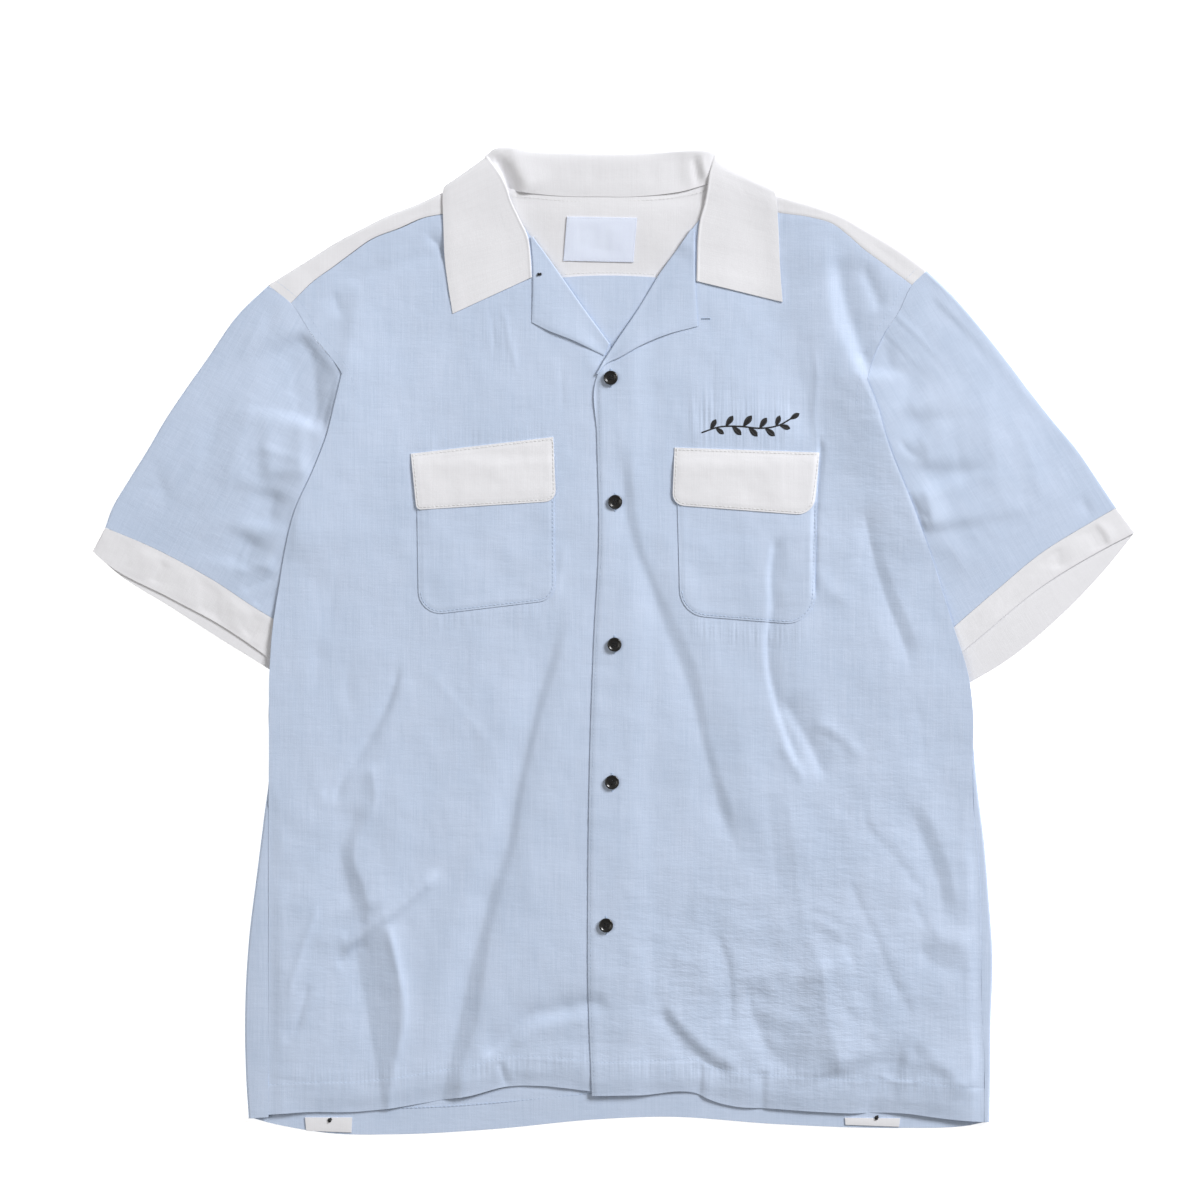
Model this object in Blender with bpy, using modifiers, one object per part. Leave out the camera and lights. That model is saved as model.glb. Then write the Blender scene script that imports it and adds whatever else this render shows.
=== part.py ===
"""Short-sleeved bowling shirt, buttoned and laid flat on its back on a table, front up.

The tables and functions work in millimetres, X across the shirt, Y from hem to collar and Z up from
the table. Meshes are written in metres. Left and right are the wearer's, so the right half lies at
negative X. Every cloth piece is a wall round a middle surface, made from the seams that it is cut to.
"""

import math

import bmesh
import bpy
import numpy as np

# ---------------------------------------------------------------- driving dimensions, millimetres

MM = 0.001
CENTRE_X = 0.49
CENTRE_Y = -1.09
CLOTH = 1.1
SEAM_GAP = 0.3
TABLE_LAYER = 0.5 * CLOTH
FOLD_HEIGHT = 2.6
SLEEVE_BELLY = 2.6
PATCH_RISE = 1.5
OVERLAP_RISE = 1.5
ROLLED_EDGE = 0.95
RETURN_WIDTH = 3.0
WRAP_RADIUS = 1.75
WRAP_TOP_Y = -138.0
FLAP_FOLD_Y = 150.0
FLAP_FOLD_WIDTH = 14.0
YOKE_OVER_FALL = 1.85
YOKE_OVER_SEAM = 0.8
STAND_REST = 1.5
COLLAR_REST = 1.7
COLLAR_ROLL = 1.15
COLLAR_OPEN_ROLL = 5.35

BUTTON_RADIUS = 5.7
BUTTON_THICK = 2.4
BUTTON_RIM = 0.9
BUTTON_FLOOR = 1.55
BUTTON_LIFT = 0.15
HOLE_RADIUS = 0.55
HOLE_OFFSET = 1.15

# How finely the pieces are divided.
PATCH_REACH = 40.0
BODY_COLUMNS = 18
BODY_ROWS = 42
BACK_COLUMNS = 25
BACK_ROWS = 36
STRIP_COLUMNS = 10
NECK_COLUMNS = 15
YOKE_ROWS = 8
SLEEVE_ROWS = 10
CUFF_ROWS = 4
CUFF_COLUMNS = 12
LAPEL_ROWS = 12
LAPEL_COLUMNS = 5
FALL_COLUMNS = 5
TURN_STEPS = 5
BUTTON_STEPS = 18

# Height of the front's middle surface above the table, by distance up the shirt.
BED = (  # y, z
    (-392, 3.4),
    (-340, 4.7),
    (-200, 5.0),
    (0, 4.8),
    (150, 4.3),
    (250, 4.1),
    (300, 4.5),
    (340, 5.7),
    (375, 6.9),
)

# Folds and ridges of the fronts: height, half width, length over which each end fades, then its path.
FOLDS = (  # name, rise, half_width, fade, path (x, y)
    ("right body fold", 2.4, 46, 45,
     ((-208, 258), (-219, 213), (-230, 166), (-256, 104), (-270, 40), (-277, -60))),
    ("left body fold", 2.4, 46, 45,
     ((190, 250), (201, 212), (217, 165), (240, 106), (270, 17), (287, -70))),
    ("right side seam", -0.7, 22, 30, ((-277, -90), (-277, -180), (-277, -280), (-277, -378))),
    ("left side seam", -0.7, 22, 30, ((288, -95), (292, -180), (294, -280), (297, -378))),
    ("left long drape", -1.7, 15, 60, ((-1, 165), (20, 82), (59, -7), (84, -110), (105, -190))),
    ("left long drape ridge", 1.3, 14, 60, ((26, 130), (44, 60), (84, -20), (108, -110), (124, -180))),
    ("left pocket drape", -1.8, 12, 35, ((130, 80), (125, 30), (127, -31), (144, -92))),
    ("left pocket drape ridge", 1.9, 12, 35, ((112, 70), (106, 20), (109, -35), (124, -92))),
    ("left waist dent", -1.9, 12, 25, ((138, -42), (155, -69), (168, -108))),
    ("left waist ridge", 1.6, 12, 25, ((158, -58), (182, -82), (205, -95))),
    ("left side dent", -1.3, 14, 25, ((236, -130), (252, -160), (264, -200))),
    ("left lower drape", -1.4, 18, 45, ((145, -170), (156, -225), (166, -260), (170, -310))),
    ("left lower ridge", 1.2, 16, 45, ((186, -180), (205, -235), (232, -294))),
    ("left hem crease", -1.6, 12, 22, ((33, -290), (62, -325), (98, -350))),
    ("left hem ridge", 1.4, 12, 25, ((52, -284), (80, -318), (112, -340))),
    ("left shoulder drape", -0.9, 18, 35, ((150, 318), (149, 280), (148, 236))),
    ("right long drape", -2.0, 13, 60, ((-42, 0), (-69, -72), (-82, -150), (-112, -254), (-134, -352))),
    ("right long drape ridge", 1.5, 14, 60,
     ((-66, -10), (-92, -84), (-106, -160), (-134, -250), (-156, -340))),
    ("right side drape", -1.9, 16, 40,
     ((-190, -92), (-200, -137), (-219, -170), (-203, -244), (-190, -330))),
    ("right side ridge", 1.6, 14, 40,
     ((-166, -100), (-174, -150), (-186, -206), (-174, -270), (-168, -325))),
    ("right cross ridge", 1.4, 13, 25, ((-152, -196), (-196, -228), (-224, -256))),
    ("right waist dent", -1.3, 14, 35, ((-174, -15), (-192, -62), (-218, -115))),
    ("right hem dent", -1.1, 12, 22, ((-20, -293), (-70, -304), (-108, -328))),
)

# ---------------------------------------------------------------- seams and edges, millimetres

PLACKET_EDGE = ((-18, -363), (-21.2, -270), (-21.2, -206), (-18.8, -62), (-16.4, 2), (-12.4, 83),
                (-14, 165), (-14.6, 211))

SHIRT = {
    "right": {
        # The button side's edge runs 22 mm under the other front, then up the roll of its lapel.
        "inner": ((4, -361), (1, -206), (3.4, -62), (6, 2), (9.6, 83), (8, 165), (6, 218), (-4, 238),
                  (-25, 266), (-43.5, 292.5), (-58, 313), (-70, 329), (-80, 342), (-90, 354)),
        "hem": ((-277, -378), (-244, -376), (-208, -376), (-186, -374), (-138, -366.5), (-116, -363),
                (-85, -355.5), (-61, -355), (-17, -359.5), (4, -361)),
        "outer": ((-277, -378), (-277, -330), (-277, -280), (-277, -230), (-277, -180), (-277, -133),
                  (-276.5, -100), (-276.5, -60), (-276, -21), (-273, 17), (-269, 42), (-264, 72),
                  (-256, 104), (-240, 140), (-230, 166), (-224, 190), (-218, 215)),
        "armhole": ((-277, 286), (-259, 271.5), (-242, 246), (-228, 229), (-218, 215), (-212.5, 190),
                    (-212, 158), (-221, 124), (-234.5, 94), (-250, 62)),
        "yoke seam": ((-259, 271.5), (-240, 290), (-226, 300), (-210, 312), (-196, 322), (-171, 332),
                      (-154, 339.5), (-137, 343), (-115, 349), (-92, 354)),
        "shoulder": ((-277, 286), (-248, 304), (-221, 321), (-202, 331), (-180, 342), (-159, 350),
                     (-136, 360), (-116, 366), (-97, 370)),
        "side": ((-293, -381), (-295, -350), (-296, -302), (-293, -240), (-286, -182), (-280, -134),
                 (-277, -110), (-276.5, -86), (-277, -50), (-273, -24), (-264, 14.5)),
        # Armhole point where the yoke's back seam ends, and how far the sleeve dips under the seam.
        "yoke end": 3,
        "sleeve dip": (0, 0, 0, 0.3, 1.7),
        "sleeve fold": ((-277, 286), (-300, 264), (-327, 226), (-344, 202), (-360, 178), (-374, 154),
                        (-389, 130), (-403, 106), (-408, 92)),
        "underarm": ((-250, 62), (-264, 14.5)),
        "cuff seam": ((-408, 92), (-370, 76), (-325, 52), (-273, 19), (-264, 14.5)),
        "cuff fold": ((-408, 92), (-418, 73)),
        "cuff top": ((-418, 73), (-408, 64), (-355, 35), (-316, 14), (-275, -14), (-271, -17)),
        "cuff bottom": ((-418, 73), (-399, 56), (-355, 28), (-313, 1), (-276, -22), (-273, -24)),
        "lapel roll": ((-8, 243.3), (-25, 266), (-43.5, 292.5), (-58, 313), (-66, 323.7)),
        "lapel edge": ((-13.5, 233.5), (-34, 242), (-53, 249.5), (-66, 256)),
        "lapel side": ((-66, 256), (-65.3, 289), (-65.5, 306), (-67, 324)),
    },
    "left": {
        "inner": PLACKET_EDGE + ((-9, 223), (-1, 236), (19.5, 266), (38.5, 297), (52, 315.5), (63, 332),
                                 (73, 344),
                                 (84, 356)),
        "hem": ((-18, -363), (20, -362.5), (68, -362), (76, -366), (99, -372), (119, -373),
                (164, -376), (184, -377), (229, -377), (270, -382), (296, -384)),
        "outer": ((296, -384), (296.4, -337), (293.7, -292), (293.3, -235), (292, -180), (288, -142),
                  (286.5, -100), (287, -56), (284, -30), (270, 17), (263, 40), (256, 62), (248, 84),
                  (240, 106), (217, 165), (210, 190), (202, 210)),
        "armhole": ((250, 298), (238, 286), (227, 264), (217, 249), (209, 233), (202, 210),
                    (199, 182), (202, 150), (212, 117), (225, 88), (240, 60)),
        "yoke seam": ((238, 286), (214, 304), (199, 315), (187, 325.5), (174, 335), (157, 340),
                      (130.5, 344), (108, 350), (84, 356)),
        "shoulder": ((250, 298), (227, 315), (202, 330), (183, 341), (168, 347), (153, 352),
                     (128, 358.5), (108, 366), (88, 372)),
        "side": ((300.5, -384), (301, -350), (301.5, -302), (303, -254), (300, -206), (296, -158),
                 (291, -118), (288, -86), (286, -55), (276, -37), (261, 3)),
        "yoke end": 4,
        "sleeve dip": (0, 0, 0, 0.3, 1.7, 1.7),
        "sleeve fold": ((250, 298), (269, 280), (295, 250), (314, 226), (332, 202), (351, 178),
                        (371, 154), (388, 129), (402, 108)),
        "underarm": ((240, 60), (261, 3)),
        "cuff seam": ((402, 108), (383, 97), (341, 71), (306, 42), (261, 3)),
        "cuff fold": ((402, 108), (417, 88)),
        "cuff top": ((417, 88), (392, 75), (341, 44), (297, 8), (277, -9), (268, -17)),
        "cuff bottom": ((417, 88), (394.5, 60), (356, 20), (312, -16), (285, -32), (276, -37)),
        "lapel roll": ((-13.6, 214.5), (-8.2, 224.3), (0.3, 237.5), (19.5, 266), (38.5, 297),
                       (52, 315.5), (62, 330)),
        "lapel edge": ((-13.6, 214.5), (-8, 222), (4, 228), (22, 238), (41, 246), (66.6, 253)),
        "lapel side": ((66.6, 253), (65, 280), (64.4, 300), (63.6, 330)),
    },
}

YOKE_BACK_SEAM = ((-229, 230), (-180, 258), (-120, 278), (-45, 292), (36, 292), (110, 280), (170, 262),
                  (208, 234))
NECK_SEAM = ((-97, 370), (-84, 361), (-68, 359), (-38, 356), (4, 356), (41, 358), (60, 361), (74, 365),
             (88, 372))
BACK_HEM = ((-293, -381), (-267, -387), (-230, -393), (-171, -394), (-98, -390), (-13, -382), (40, -380),
            (131, -386), (229, -389), (284, -387), (300.5, -384))

# Collar sections from the right tip round the neck to the left tip. Each has the point where it is
# sewn to the neck, the crown of its roll, how far the fall has swung round the neck (0 lies behind
# it, 180 lies on the front) and the free edge. A height of None rests on the fronts.
COLLAR = (  # seam x, y, z; roll x, y, z; swing; edge x, y, z
    ((-69.0, 293, None), (-66.5, 292, None), 180, (-129.5, 263, None)),
    ((-70.0, 308, None), (-67.4, 308, None), 180, (-133.5, 288, None)),
    ((-73.0, 324, None), (-69.8, 325, None), 180, (-136, 309, None)),
    ((-81.0, 337, None), (-76.0, 338, None), 180, (-136.6, 323, None)),
    ((-88.5, 347, None), (-83.0, 353, None), 178, (-137, 336, None)),
    ((-89.0, 354, None), (-87.0, 365, 11.4), 170, (-137.4, 347, None)),
    ((-91.5, 362, 8.0), (-95.0, 379, 11.2), 145, (-137.4, 357, 9.2)),
    ((-93.0, 365, 6.6), (-101.0, 387, 9.8), 115, (-136.2, 364, 7.8)),
    ((-92.5, 366, 5.4), (-102.5, 389, 8.6), 90, (-135.2, 365.5, 4.0)),
    ((-90.5, 366, 4.6), (-100.5, 391, 7.8), 65, (-134.0, 365.5, 0.9)),
    ((-87.0, 364.5, 4.0), (-97.0, 394, 7.2), 40, (-126, 352, TABLE_LAYER)),
    ((-79.0, 362, 3.6), (-88.0, 396, 6.6), 15, (-108, 345, TABLE_LAYER)),
    ((-62.0, 359.5, 3.4), (-68.0, 393.5, 6.2), 0, (-78, 340, TABLE_LAYER)),
    ((-40.0, 357.5, 3.4), (-42.0, 391.5, 6.2), 0, (-46, 337, TABLE_LAYER)),
    ((-12.0, 357, 3.4), (-12.0, 391, 6.2), 0, (-12, 336, TABLE_LAYER)),
    ((14.0, 357, 3.4), (14.0, 391, 6.2), 0, (14, 336, TABLE_LAYER)),
    ((37.0, 359, 3.4), (38.0, 392, 6.2), 0, (40, 337, TABLE_LAYER)),
    ((56.0, 362, 3.5), (58.0, 393.5, 6.2), 0, (64, 340, TABLE_LAYER)),
    ((68.0, 365.5, 3.8), (73.0, 393.5, 6.8), 18, (90, 344, TABLE_LAYER)),
    ((75.5, 368, 4.2), (79.5, 392, 7.4), 42, (108, 351, TABLE_LAYER)),
    ((79.0, 369.5, 4.8), (82.0, 390.5, 8.0), 66, (125.0, 363.5, 0.9)),
    ((81.0, 369.5, 5.6), (82.5, 388, 8.8), 90, (126.8, 364, 4.0)),
    ((82.0, 368, 6.8), (81.5, 384, 9.8), 115, (127.6, 362, 7.8)),
    ((81.5, 364.5, 8.0), (78.5, 376, 11.0), 145, (129.2, 355, 9.2)),
    ((79.0, 357, None), (75.6, 363, 11.2), 170, (130.2, 345, None)),
    ((77.0, 349, None), (72.0, 350, None), 178, (131, 334, None)),
    ((72.5, 338, None), (68.6, 338, None), 180, (131.6, 322, None)),
    ((69.6, 322, None), (66.6, 322, None), 180, (132.2, 307, None)),
    ((68.6, 306, None), (66.2, 306, None), 180, (133.2, 290, None)),
    ((68.2, 289.5, None), (65.8, 289, None), 180, (134.6, 272.5, None)),
)

POCKET = {  # corners from upper left, clockwise, each with its rounding
    "right": (((-158.5, 140), 0), ((-48.5, 142), 0), ((-47.6, 34), 14), ((-156.6, 21), 18)),
    "left": (((49.5, 140), 0), ((163, 138), 0), ((159.4, 13.5), 14), ((52.6, 22), 16)),
}
FLAP = {
    "right": (((-163, 151), 0), ((-49, 164.4), 0), ((-46.6, 113), 9), ((-158.5, 106), 4)),
    "left": (((48, 156), 0), ((164, 152), 0), ((157, 102), 5), ((46, 110), 9)),
}
LABEL = ((-38, 340.6), (18, 339.6), (15, 304.4), (-41, 305.6))
HEM_TAB = {
    "right": ((-248, -380.5), (-210, -380.5), (-210.6, -392.6), (-247, -391.2)),
    "left": ((184.5, -380.8), (229, -381.2), (228, -388), (185, -386.4)),
}
BUTTONS = ((-3, 211.6), (0.4, 112.4), (0, -1.6), (-2, -111.6), (-6.8, -226))

COLOURS = {  # linear base colour, roughness
    "shirt_cloth": ((0.52, 0.62, 0.76, 1), 0.75),
    "contrast_cloth": ((0.74, 0.74, 0.75, 1), 0.78),
    "label_cloth": ((0.80, 0.83, 0.92, 1), 0.55),
    "button_plastic": ((0.012, 0.011, 0.011, 1), 0.25),
}

# ---------------------------------------------------------------- curves and heights


def smoothstep(value, low, high):
    """0 below low, 1 above high, easing between them."""
    share = np.clip((np.asarray(value, float) - low) / (high - low), 0, 1)
    return share * share * (3 - 2 * share)


def run_of(points):
    """How far along its line each point lies."""
    return np.concatenate([[0], np.cumsum(np.linalg.norm(np.diff(points, axis=0), axis=1))])


def refined(points, pieces):
    """A smooth curve through the points, with each span cut into the same number of pieces."""
    knots = np.array(points, float)
    if len(knots) == 2:
        share = np.linspace(0, 1, pieces + 1)[:, None]
        return knots[0] * (1 - share) + knots[1] * share
    place = run_of(knots)
    slope = np.gradient(knots, place, axis=0)
    curve = [knots[:1]]
    for i in range(len(knots) - 1):
        span = place[i + 1] - place[i]
        t = np.linspace(0, 1, pieces + 1)[1:, None]
        curve.append(
            (2 * t**3 - 3 * t**2 + 1) * knots[i]
            + (t**3 - 2 * t**2 + t) * span * slope[i]
            + (3 * t**2 - 2 * t**3) * knots[i + 1]
            + (t**3 - t**2) * span * slope[i + 1]
        )
    return np.concatenate(curve)


def even(points, count):
    """That many points at equal steps along the smooth curve through the given ones."""
    fine = refined(points, 16)
    place = run_of(fine)
    steps = np.linspace(0, place[-1], count)
    return np.stack([np.interp(steps, place, fine[:, k]) for k in range(fine.shape[1])], axis=1)


def between(low, high, left, right):
    """A grid that fills four edge curves: rows run from low to high, columns from left to right."""
    v = np.linspace(0, 1, len(left))[:, None, None]
    u = np.linspace(0, 1, len(low))[None, :, None]
    across = (1 - u) * left[:, None] + u * right[:, None]
    along = (1 - v) * low[None] + v * high[None]
    corners = (1 - v) * ((1 - u) * low[0] + u * low[-1]) + v * ((1 - u) * high[0] + u * high[-1])
    return across + along - corners


def outward(edge, inside):
    """Unit directions that leave a panel across its edge, at right angles to it."""
    run = np.gradient(edge, axis=0)
    across = np.stack([run[:, 1], -run[:, 0]], axis=1)
    across /= np.linalg.norm(across, axis=1)[:, None]
    return across * np.sign(((edge - inside) * across).sum())


def pulled_in(edge, inside, distance):
    """The edge points moved into the panel, at right angles to the edge."""
    return edge - outward(edge, inside) * distance


def trimmed(grid, first_row=0, last_row=0, first_column=0, last_column=0):
    """The grid with its outer rows and columns drawn in by these distances."""
    grid = grid.copy()
    if first_row:
        grid[0] = pulled_in(grid[0], grid[1], first_row)
    if last_row:
        grid[-1] = pulled_in(grid[-1], grid[-2], last_row)
    if first_column:
        grid[:, 0] = pulled_in(grid[:, 0], grid[:, 1], first_column)
    if last_column:
        grid[:, -1] = pulled_in(grid[:, -1], grid[:, -2], last_column)
    return grid


def fold_height(x, y, folds):
    """The sum of the folds at each place: a soft ridge or trough along each path, fading at its ends."""
    total = np.zeros(np.broadcast(x, y).shape)
    for _, rise, half_width, fade, path in folds:
        line = refined(path, 6)
        place = run_of(line)
        nearest = np.full(total.shape, np.inf)
        along = np.zeros(total.shape)
        for i in range(len(line) - 1):
            step = line[i + 1] - line[i]
            share = ((x - line[i, 0]) * step[0] + (y - line[i, 1]) * step[1]) / (step @ step)
            share = np.clip(share, 0, 1)
            gap = np.hypot(x - line[i, 0] - share * step[0], y - line[i, 1] - share * step[1])
            along = np.where(gap < nearest, place[i] + share * (place[i + 1] - place[i]), along)
            nearest = np.minimum(gap, nearest)
        ends = smoothstep(along, 0, fade) * smoothstep(place[-1] - along, 0, fade)
        total += rise * ends * np.exp(-((nearest / half_width) ** 2))
    return total


def front_height(x, y, side="right"):
    """Middle surface of a front above the table. The left front lies on the right one's edge."""
    x = np.asarray(x, float)
    y = np.asarray(y, float)
    height = np.interp(y, *zip(*BED)) + fold_height(x, y, FOLDS)
    if side == "left":
        height = height + OVERLAP_RISE * (1 - smoothstep(x, 11, 34)) * (1 - smoothstep(y, 225, 290))
    return height


def lifted(plan, height):
    """Plan points with their heights as a third coordinate."""
    return np.concatenate([plan, np.broadcast_to(height, plan.shape[:-1])[..., None]], axis=-1)


def curled(edge, away, height, radius, amount, tail, up):
    """Columns that carry a panel on round a half turn at its edge and back over, or under, itself.

    amount goes from 0, where the cloth runs out flat to the edge, to 1, a half turn whose outer face
    keeps to the edge. tail is the straight width after the turn. up is 1 or -1.
    """
    turn = np.append(np.linspace(0, math.pi, TURN_STEPS + 1), math.pi)
    after = np.append(np.zeros(TURN_STEPS + 1), 1) * tail[:, None]
    round_x = radius * np.sin(turn) - after
    round_z = radius * (1 - np.cos(turn))
    length = radius * turn + after
    straight_x = length - length[:, -1:]
    share = amount[:, None]
    path_x = straight_x * (1 - share) + (round_x - radius - 0.5 * CLOTH) * share
    path = np.stack([path_x, round_z * share], axis=2)
    flat = edge[:, None] + away[:, None] * path[..., :1]
    return np.concatenate([flat, (height[:, None] + up * path[..., 1])[..., None]], axis=2)


# ---------------------------------------------------------------- Blender objects


def clear_scene():
    for obj in list(bpy.data.objects):
        bpy.data.objects.remove(obj)


def collection(name):
    made = bpy.data.collections.new(name)
    bpy.context.scene.collection.children.link(made)
    return made


def material(name):
    colour, roughness = COLOURS[name]
    made = bpy.data.materials.new(name)
    made.use_nodes = True
    made.diffuse_color = colour
    shader = made.node_tree.nodes["Principled BSDF"]
    shader.inputs["Base Color"].default_value = colour
    shader.inputs["Roughness"].default_value = roughness
    shader.inputs["Metallic"].default_value = 0.0
    return made


def surface_object(name, grid, slot, closed=False, keep=None):
    """A mesh of four-sided cells through a grid of points; closed joins its last column to its first."""
    rows, columns = grid.shape[:2]
    faces = []
    for i in range(rows - 1):
        here = i * columns
        above = here + columns
        for j in range(columns if closed else columns - 1):
            k = (j + 1) % columns
            if keep is None or keep[i, j]:
                faces.append((here + j, here + k, above + k, above + j))
    mesh = bpy.data.meshes.new(name)
    points = grid.reshape(-1, 3) + (CENTRE_X, CENTRE_Y, 0)
    mesh.from_pydata([tuple(point * MM) for point in points], [], faces)
    shape = bmesh.new()
    shape.from_mesh(mesh)
    loose = [vertex for vertex in shape.verts if not vertex.link_faces]
    bmesh.ops.delete(shape, geom=loose, context="VERTS")
    shape.to_mesh(mesh)
    shape.free()
    mesh.shade_smooth()
    mesh.materials.append(MATERIALS[slot])
    obj = bpy.data.objects.new(name, mesh)
    PARTS.objects.link(obj)
    return obj


def thicken(obj, thickness=CLOTH):
    wall = obj.modifiers.new("wall", "SOLIDIFY")
    wall.thickness = thickness * MM
    wall.offset = 0
    return obj


def cloth(name, grid, slot, closed=False, keep=None):
    return thicken(surface_object(name, grid, slot, closed, keep))


def prism(name, outline, low, high):
    """A straight-sided cutter that stands on an outline."""
    shape = bmesh.new()
    ring = [shape.verts.new(((x + CENTRE_X) * MM, (y + CENTRE_Y) * MM, low * MM)) for x, y in outline]
    grown = bmesh.ops.extrude_face_region(shape, geom=[shape.faces.new(ring)])
    moved = [part for part in grown["geom"] if isinstance(part, bmesh.types.BMVert)]
    bmesh.ops.translate(shape, verts=moved, vec=(0, 0, (high - low) * MM))
    bmesh.ops.recalc_face_normals(shape, faces=shape.faces)
    mesh = bpy.data.meshes.new(name)
    shape.to_mesh(mesh)
    shape.free()
    cutter = bpy.data.objects.new(name, mesh)
    cutter.hide_render = True
    cutter.display_type = "WIRE"
    CUTTERS.objects.link(cutter)
    return cutter


def trim_to(obj, cutter, operation="INTERSECT"):
    cut = obj.modifiers.new(operation.lower(), "BOOLEAN")
    cut.operation = operation
    cut.object = cutter
    cut.solver = "EXACT"


def rounded(corners, steps=4):
    """An outline whose corners are arcs of their own radius; a radius of 0 stays sharp."""
    outline = []
    for i, (corner, radius) in enumerate(corners):
        here = np.array(corner, float)
        if not radius:
            outline.append(tuple(here))
            continue
        before = np.array(corners[i - 1][0], float) - here
        after = np.array(corners[(i + 1) % len(corners)][0], float) - here
        before /= np.linalg.norm(before)
        after /= np.linalg.norm(after)
        half = math.acos(float(np.clip(before @ after, -1, 1))) / 2
        middle = here + (before + after) / np.linalg.norm(before + after) * radius / math.sin(half)
        first = here + before * radius / math.tan(half) - middle
        last = here + after * radius / math.tan(half) - middle
        start = math.atan2(first[1], first[0])
        sweep = (math.atan2(last[1], last[0]) - start + math.pi) % (2 * math.pi) - math.pi
        for step in range(steps + 1):
            angle = start + sweep * step / steps
            outline.append(tuple(middle + radius * np.array([math.cos(angle), math.sin(angle)])))
    return outline


def patch_on(name, panel, rise, outline, slot):
    """A piece that lies on a panel: the panel's own points round the outline, moved up, cut to it."""
    outline = np.array(outline)
    low = outline.min(axis=0)
    high = outline.max(axis=0)
    near = ((panel[..., :2] > low - PATCH_REACH) & (panel[..., :2] < high + PATCH_REACH)).all(axis=-1)
    rows = np.flatnonzero(near.any(axis=1))
    columns = np.flatnonzero(near.any(axis=0))
    part = panel[rows[0] : rows[-1] + 1, columns[0] : columns[-1] + 1].copy()
    part[..., 2] += rise(part[..., 0], part[..., 1]) if callable(rise) else rise
    obj = cloth(name, part, slot)
    trim_to(obj, prism(name + "_outline", outline, -5, 40))
    return obj


# ---------------------------------------------------------------- pieces


def make_front(side):
    """A front panel with its outer edge rolled under; returns the panel's own grid."""
    cut = SHIRT[side]
    climb = np.array(cut["armhole"][cut["yoke end"] : 0 : -1], float)
    outer = np.concatenate([even(cut["outer"], BODY_ROWS - len(climb)), climb])
    plan = between(
        even(cut["hem"] if side == "left" else cut["hem"][::-1], BODY_COLUMNS + 1),
        even(cut["yoke seam"][::-1], BODY_COLUMNS + 1),
        even(cut["inner"], BODY_ROWS),
        outer,
    )
    plan = trimmed(plan, last_row=2 * SEAM_GAP, last_column=SEAM_GAP)
    panel = lifted(plan, front_height(plan[..., 0], plan[..., 1], side))
    y = plan[:, -1, 1]
    amount = ((y > -345) & (y < 195)).astype(float)
    away = outward(plan[:, -1], plan[:, -2])
    tail = 1 + (RETURN_WIDTH - 1) * amount
    roll = curled(plan[:, -1], away, panel[:, -1, 2], ROLLED_EDGE, amount, tail, -1)
    cloth("front_" + side, np.concatenate([panel[:, :-1], roll], axis=1), "shirt_cloth")
    return panel


def make_back():
    """The back lies on the table and wraps up round both sides to the side seams."""
    edges = {}
    for side, cut in SHIRT.items():
        armhole = np.array(cut["armhole"][: cut["yoke end"] - 1 : -1], float)
        armhole[-1] = YOKE_BACK_SEAM[0 if side == "right" else -1]
        underarm = refined(cut["underarm"], 3)[::-1]
        below = even(cut["side"], BACK_ROWS - len(armhole) - 2)
        armpit = armhole[0] - 2 * SEAM_GAP * np.sign(armhole[0]) * (1, 0)
        edges[side] = np.concatenate([below[:-1], underarm[:-1], [armpit], armhole[1:]])
    hem = even(BACK_HEM, BACK_COLUMNS)
    plan = between(hem, even(YOKE_BACK_SEAM, BACK_COLUMNS), edges["right"], edges["left"])
    plan = trimmed(plan, last_row=SEAM_GAP, first_column=SEAM_GAP, last_column=SEAM_GAP)
    wraps = {}
    for side, column, inner in (("right", 0, 1), ("left", -1, -2)):
        edge = plan[:, column]
        seam = np.interp(edge[:, 1], *zip(*[(y, x) for x, y in SHIRT[side]["outer"]]))
        amount = (edge[:, 1] < WRAP_TOP_Y).astype(float)
        width = np.abs(edge[:, 0] - seam) - WRAP_RADIUS - 0.5 * CLOTH - 3 * SEAM_GAP
        away = outward(edge, plan[:, inner])
        table = np.full(len(edge), TABLE_LAYER)
        tail = 0.2 + np.maximum(width, 0.1) * amount
        wraps[side] = curled(edge, away, table, WRAP_RADIUS, amount, tail, 1)
    panel = lifted(plan[:, 1:-1], TABLE_LAYER)
    cloth("back", np.concatenate([wraps["right"][:, ::-1], panel, wraps["left"]], axis=1), "shirt_cloth")
    return lifted(plan, TABLE_LAYER)


def yoke_floor(x, y):
    """The yoke lies on the table, and on the collar's fall where that hangs behind the neck."""
    beside = (1 - smoothstep(np.abs(np.asarray(x, float) + 4), 136, 152)) * smoothstep(y, 318, 334)
    neck = smoothstep(y, 340, 358) * (1 - smoothstep(np.abs(np.asarray(x, float) + 4), 80, 95))
    return TABLE_LAYER + YOKE_OVER_FALL * beside + YOKE_OVER_SEAM * neck


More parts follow.
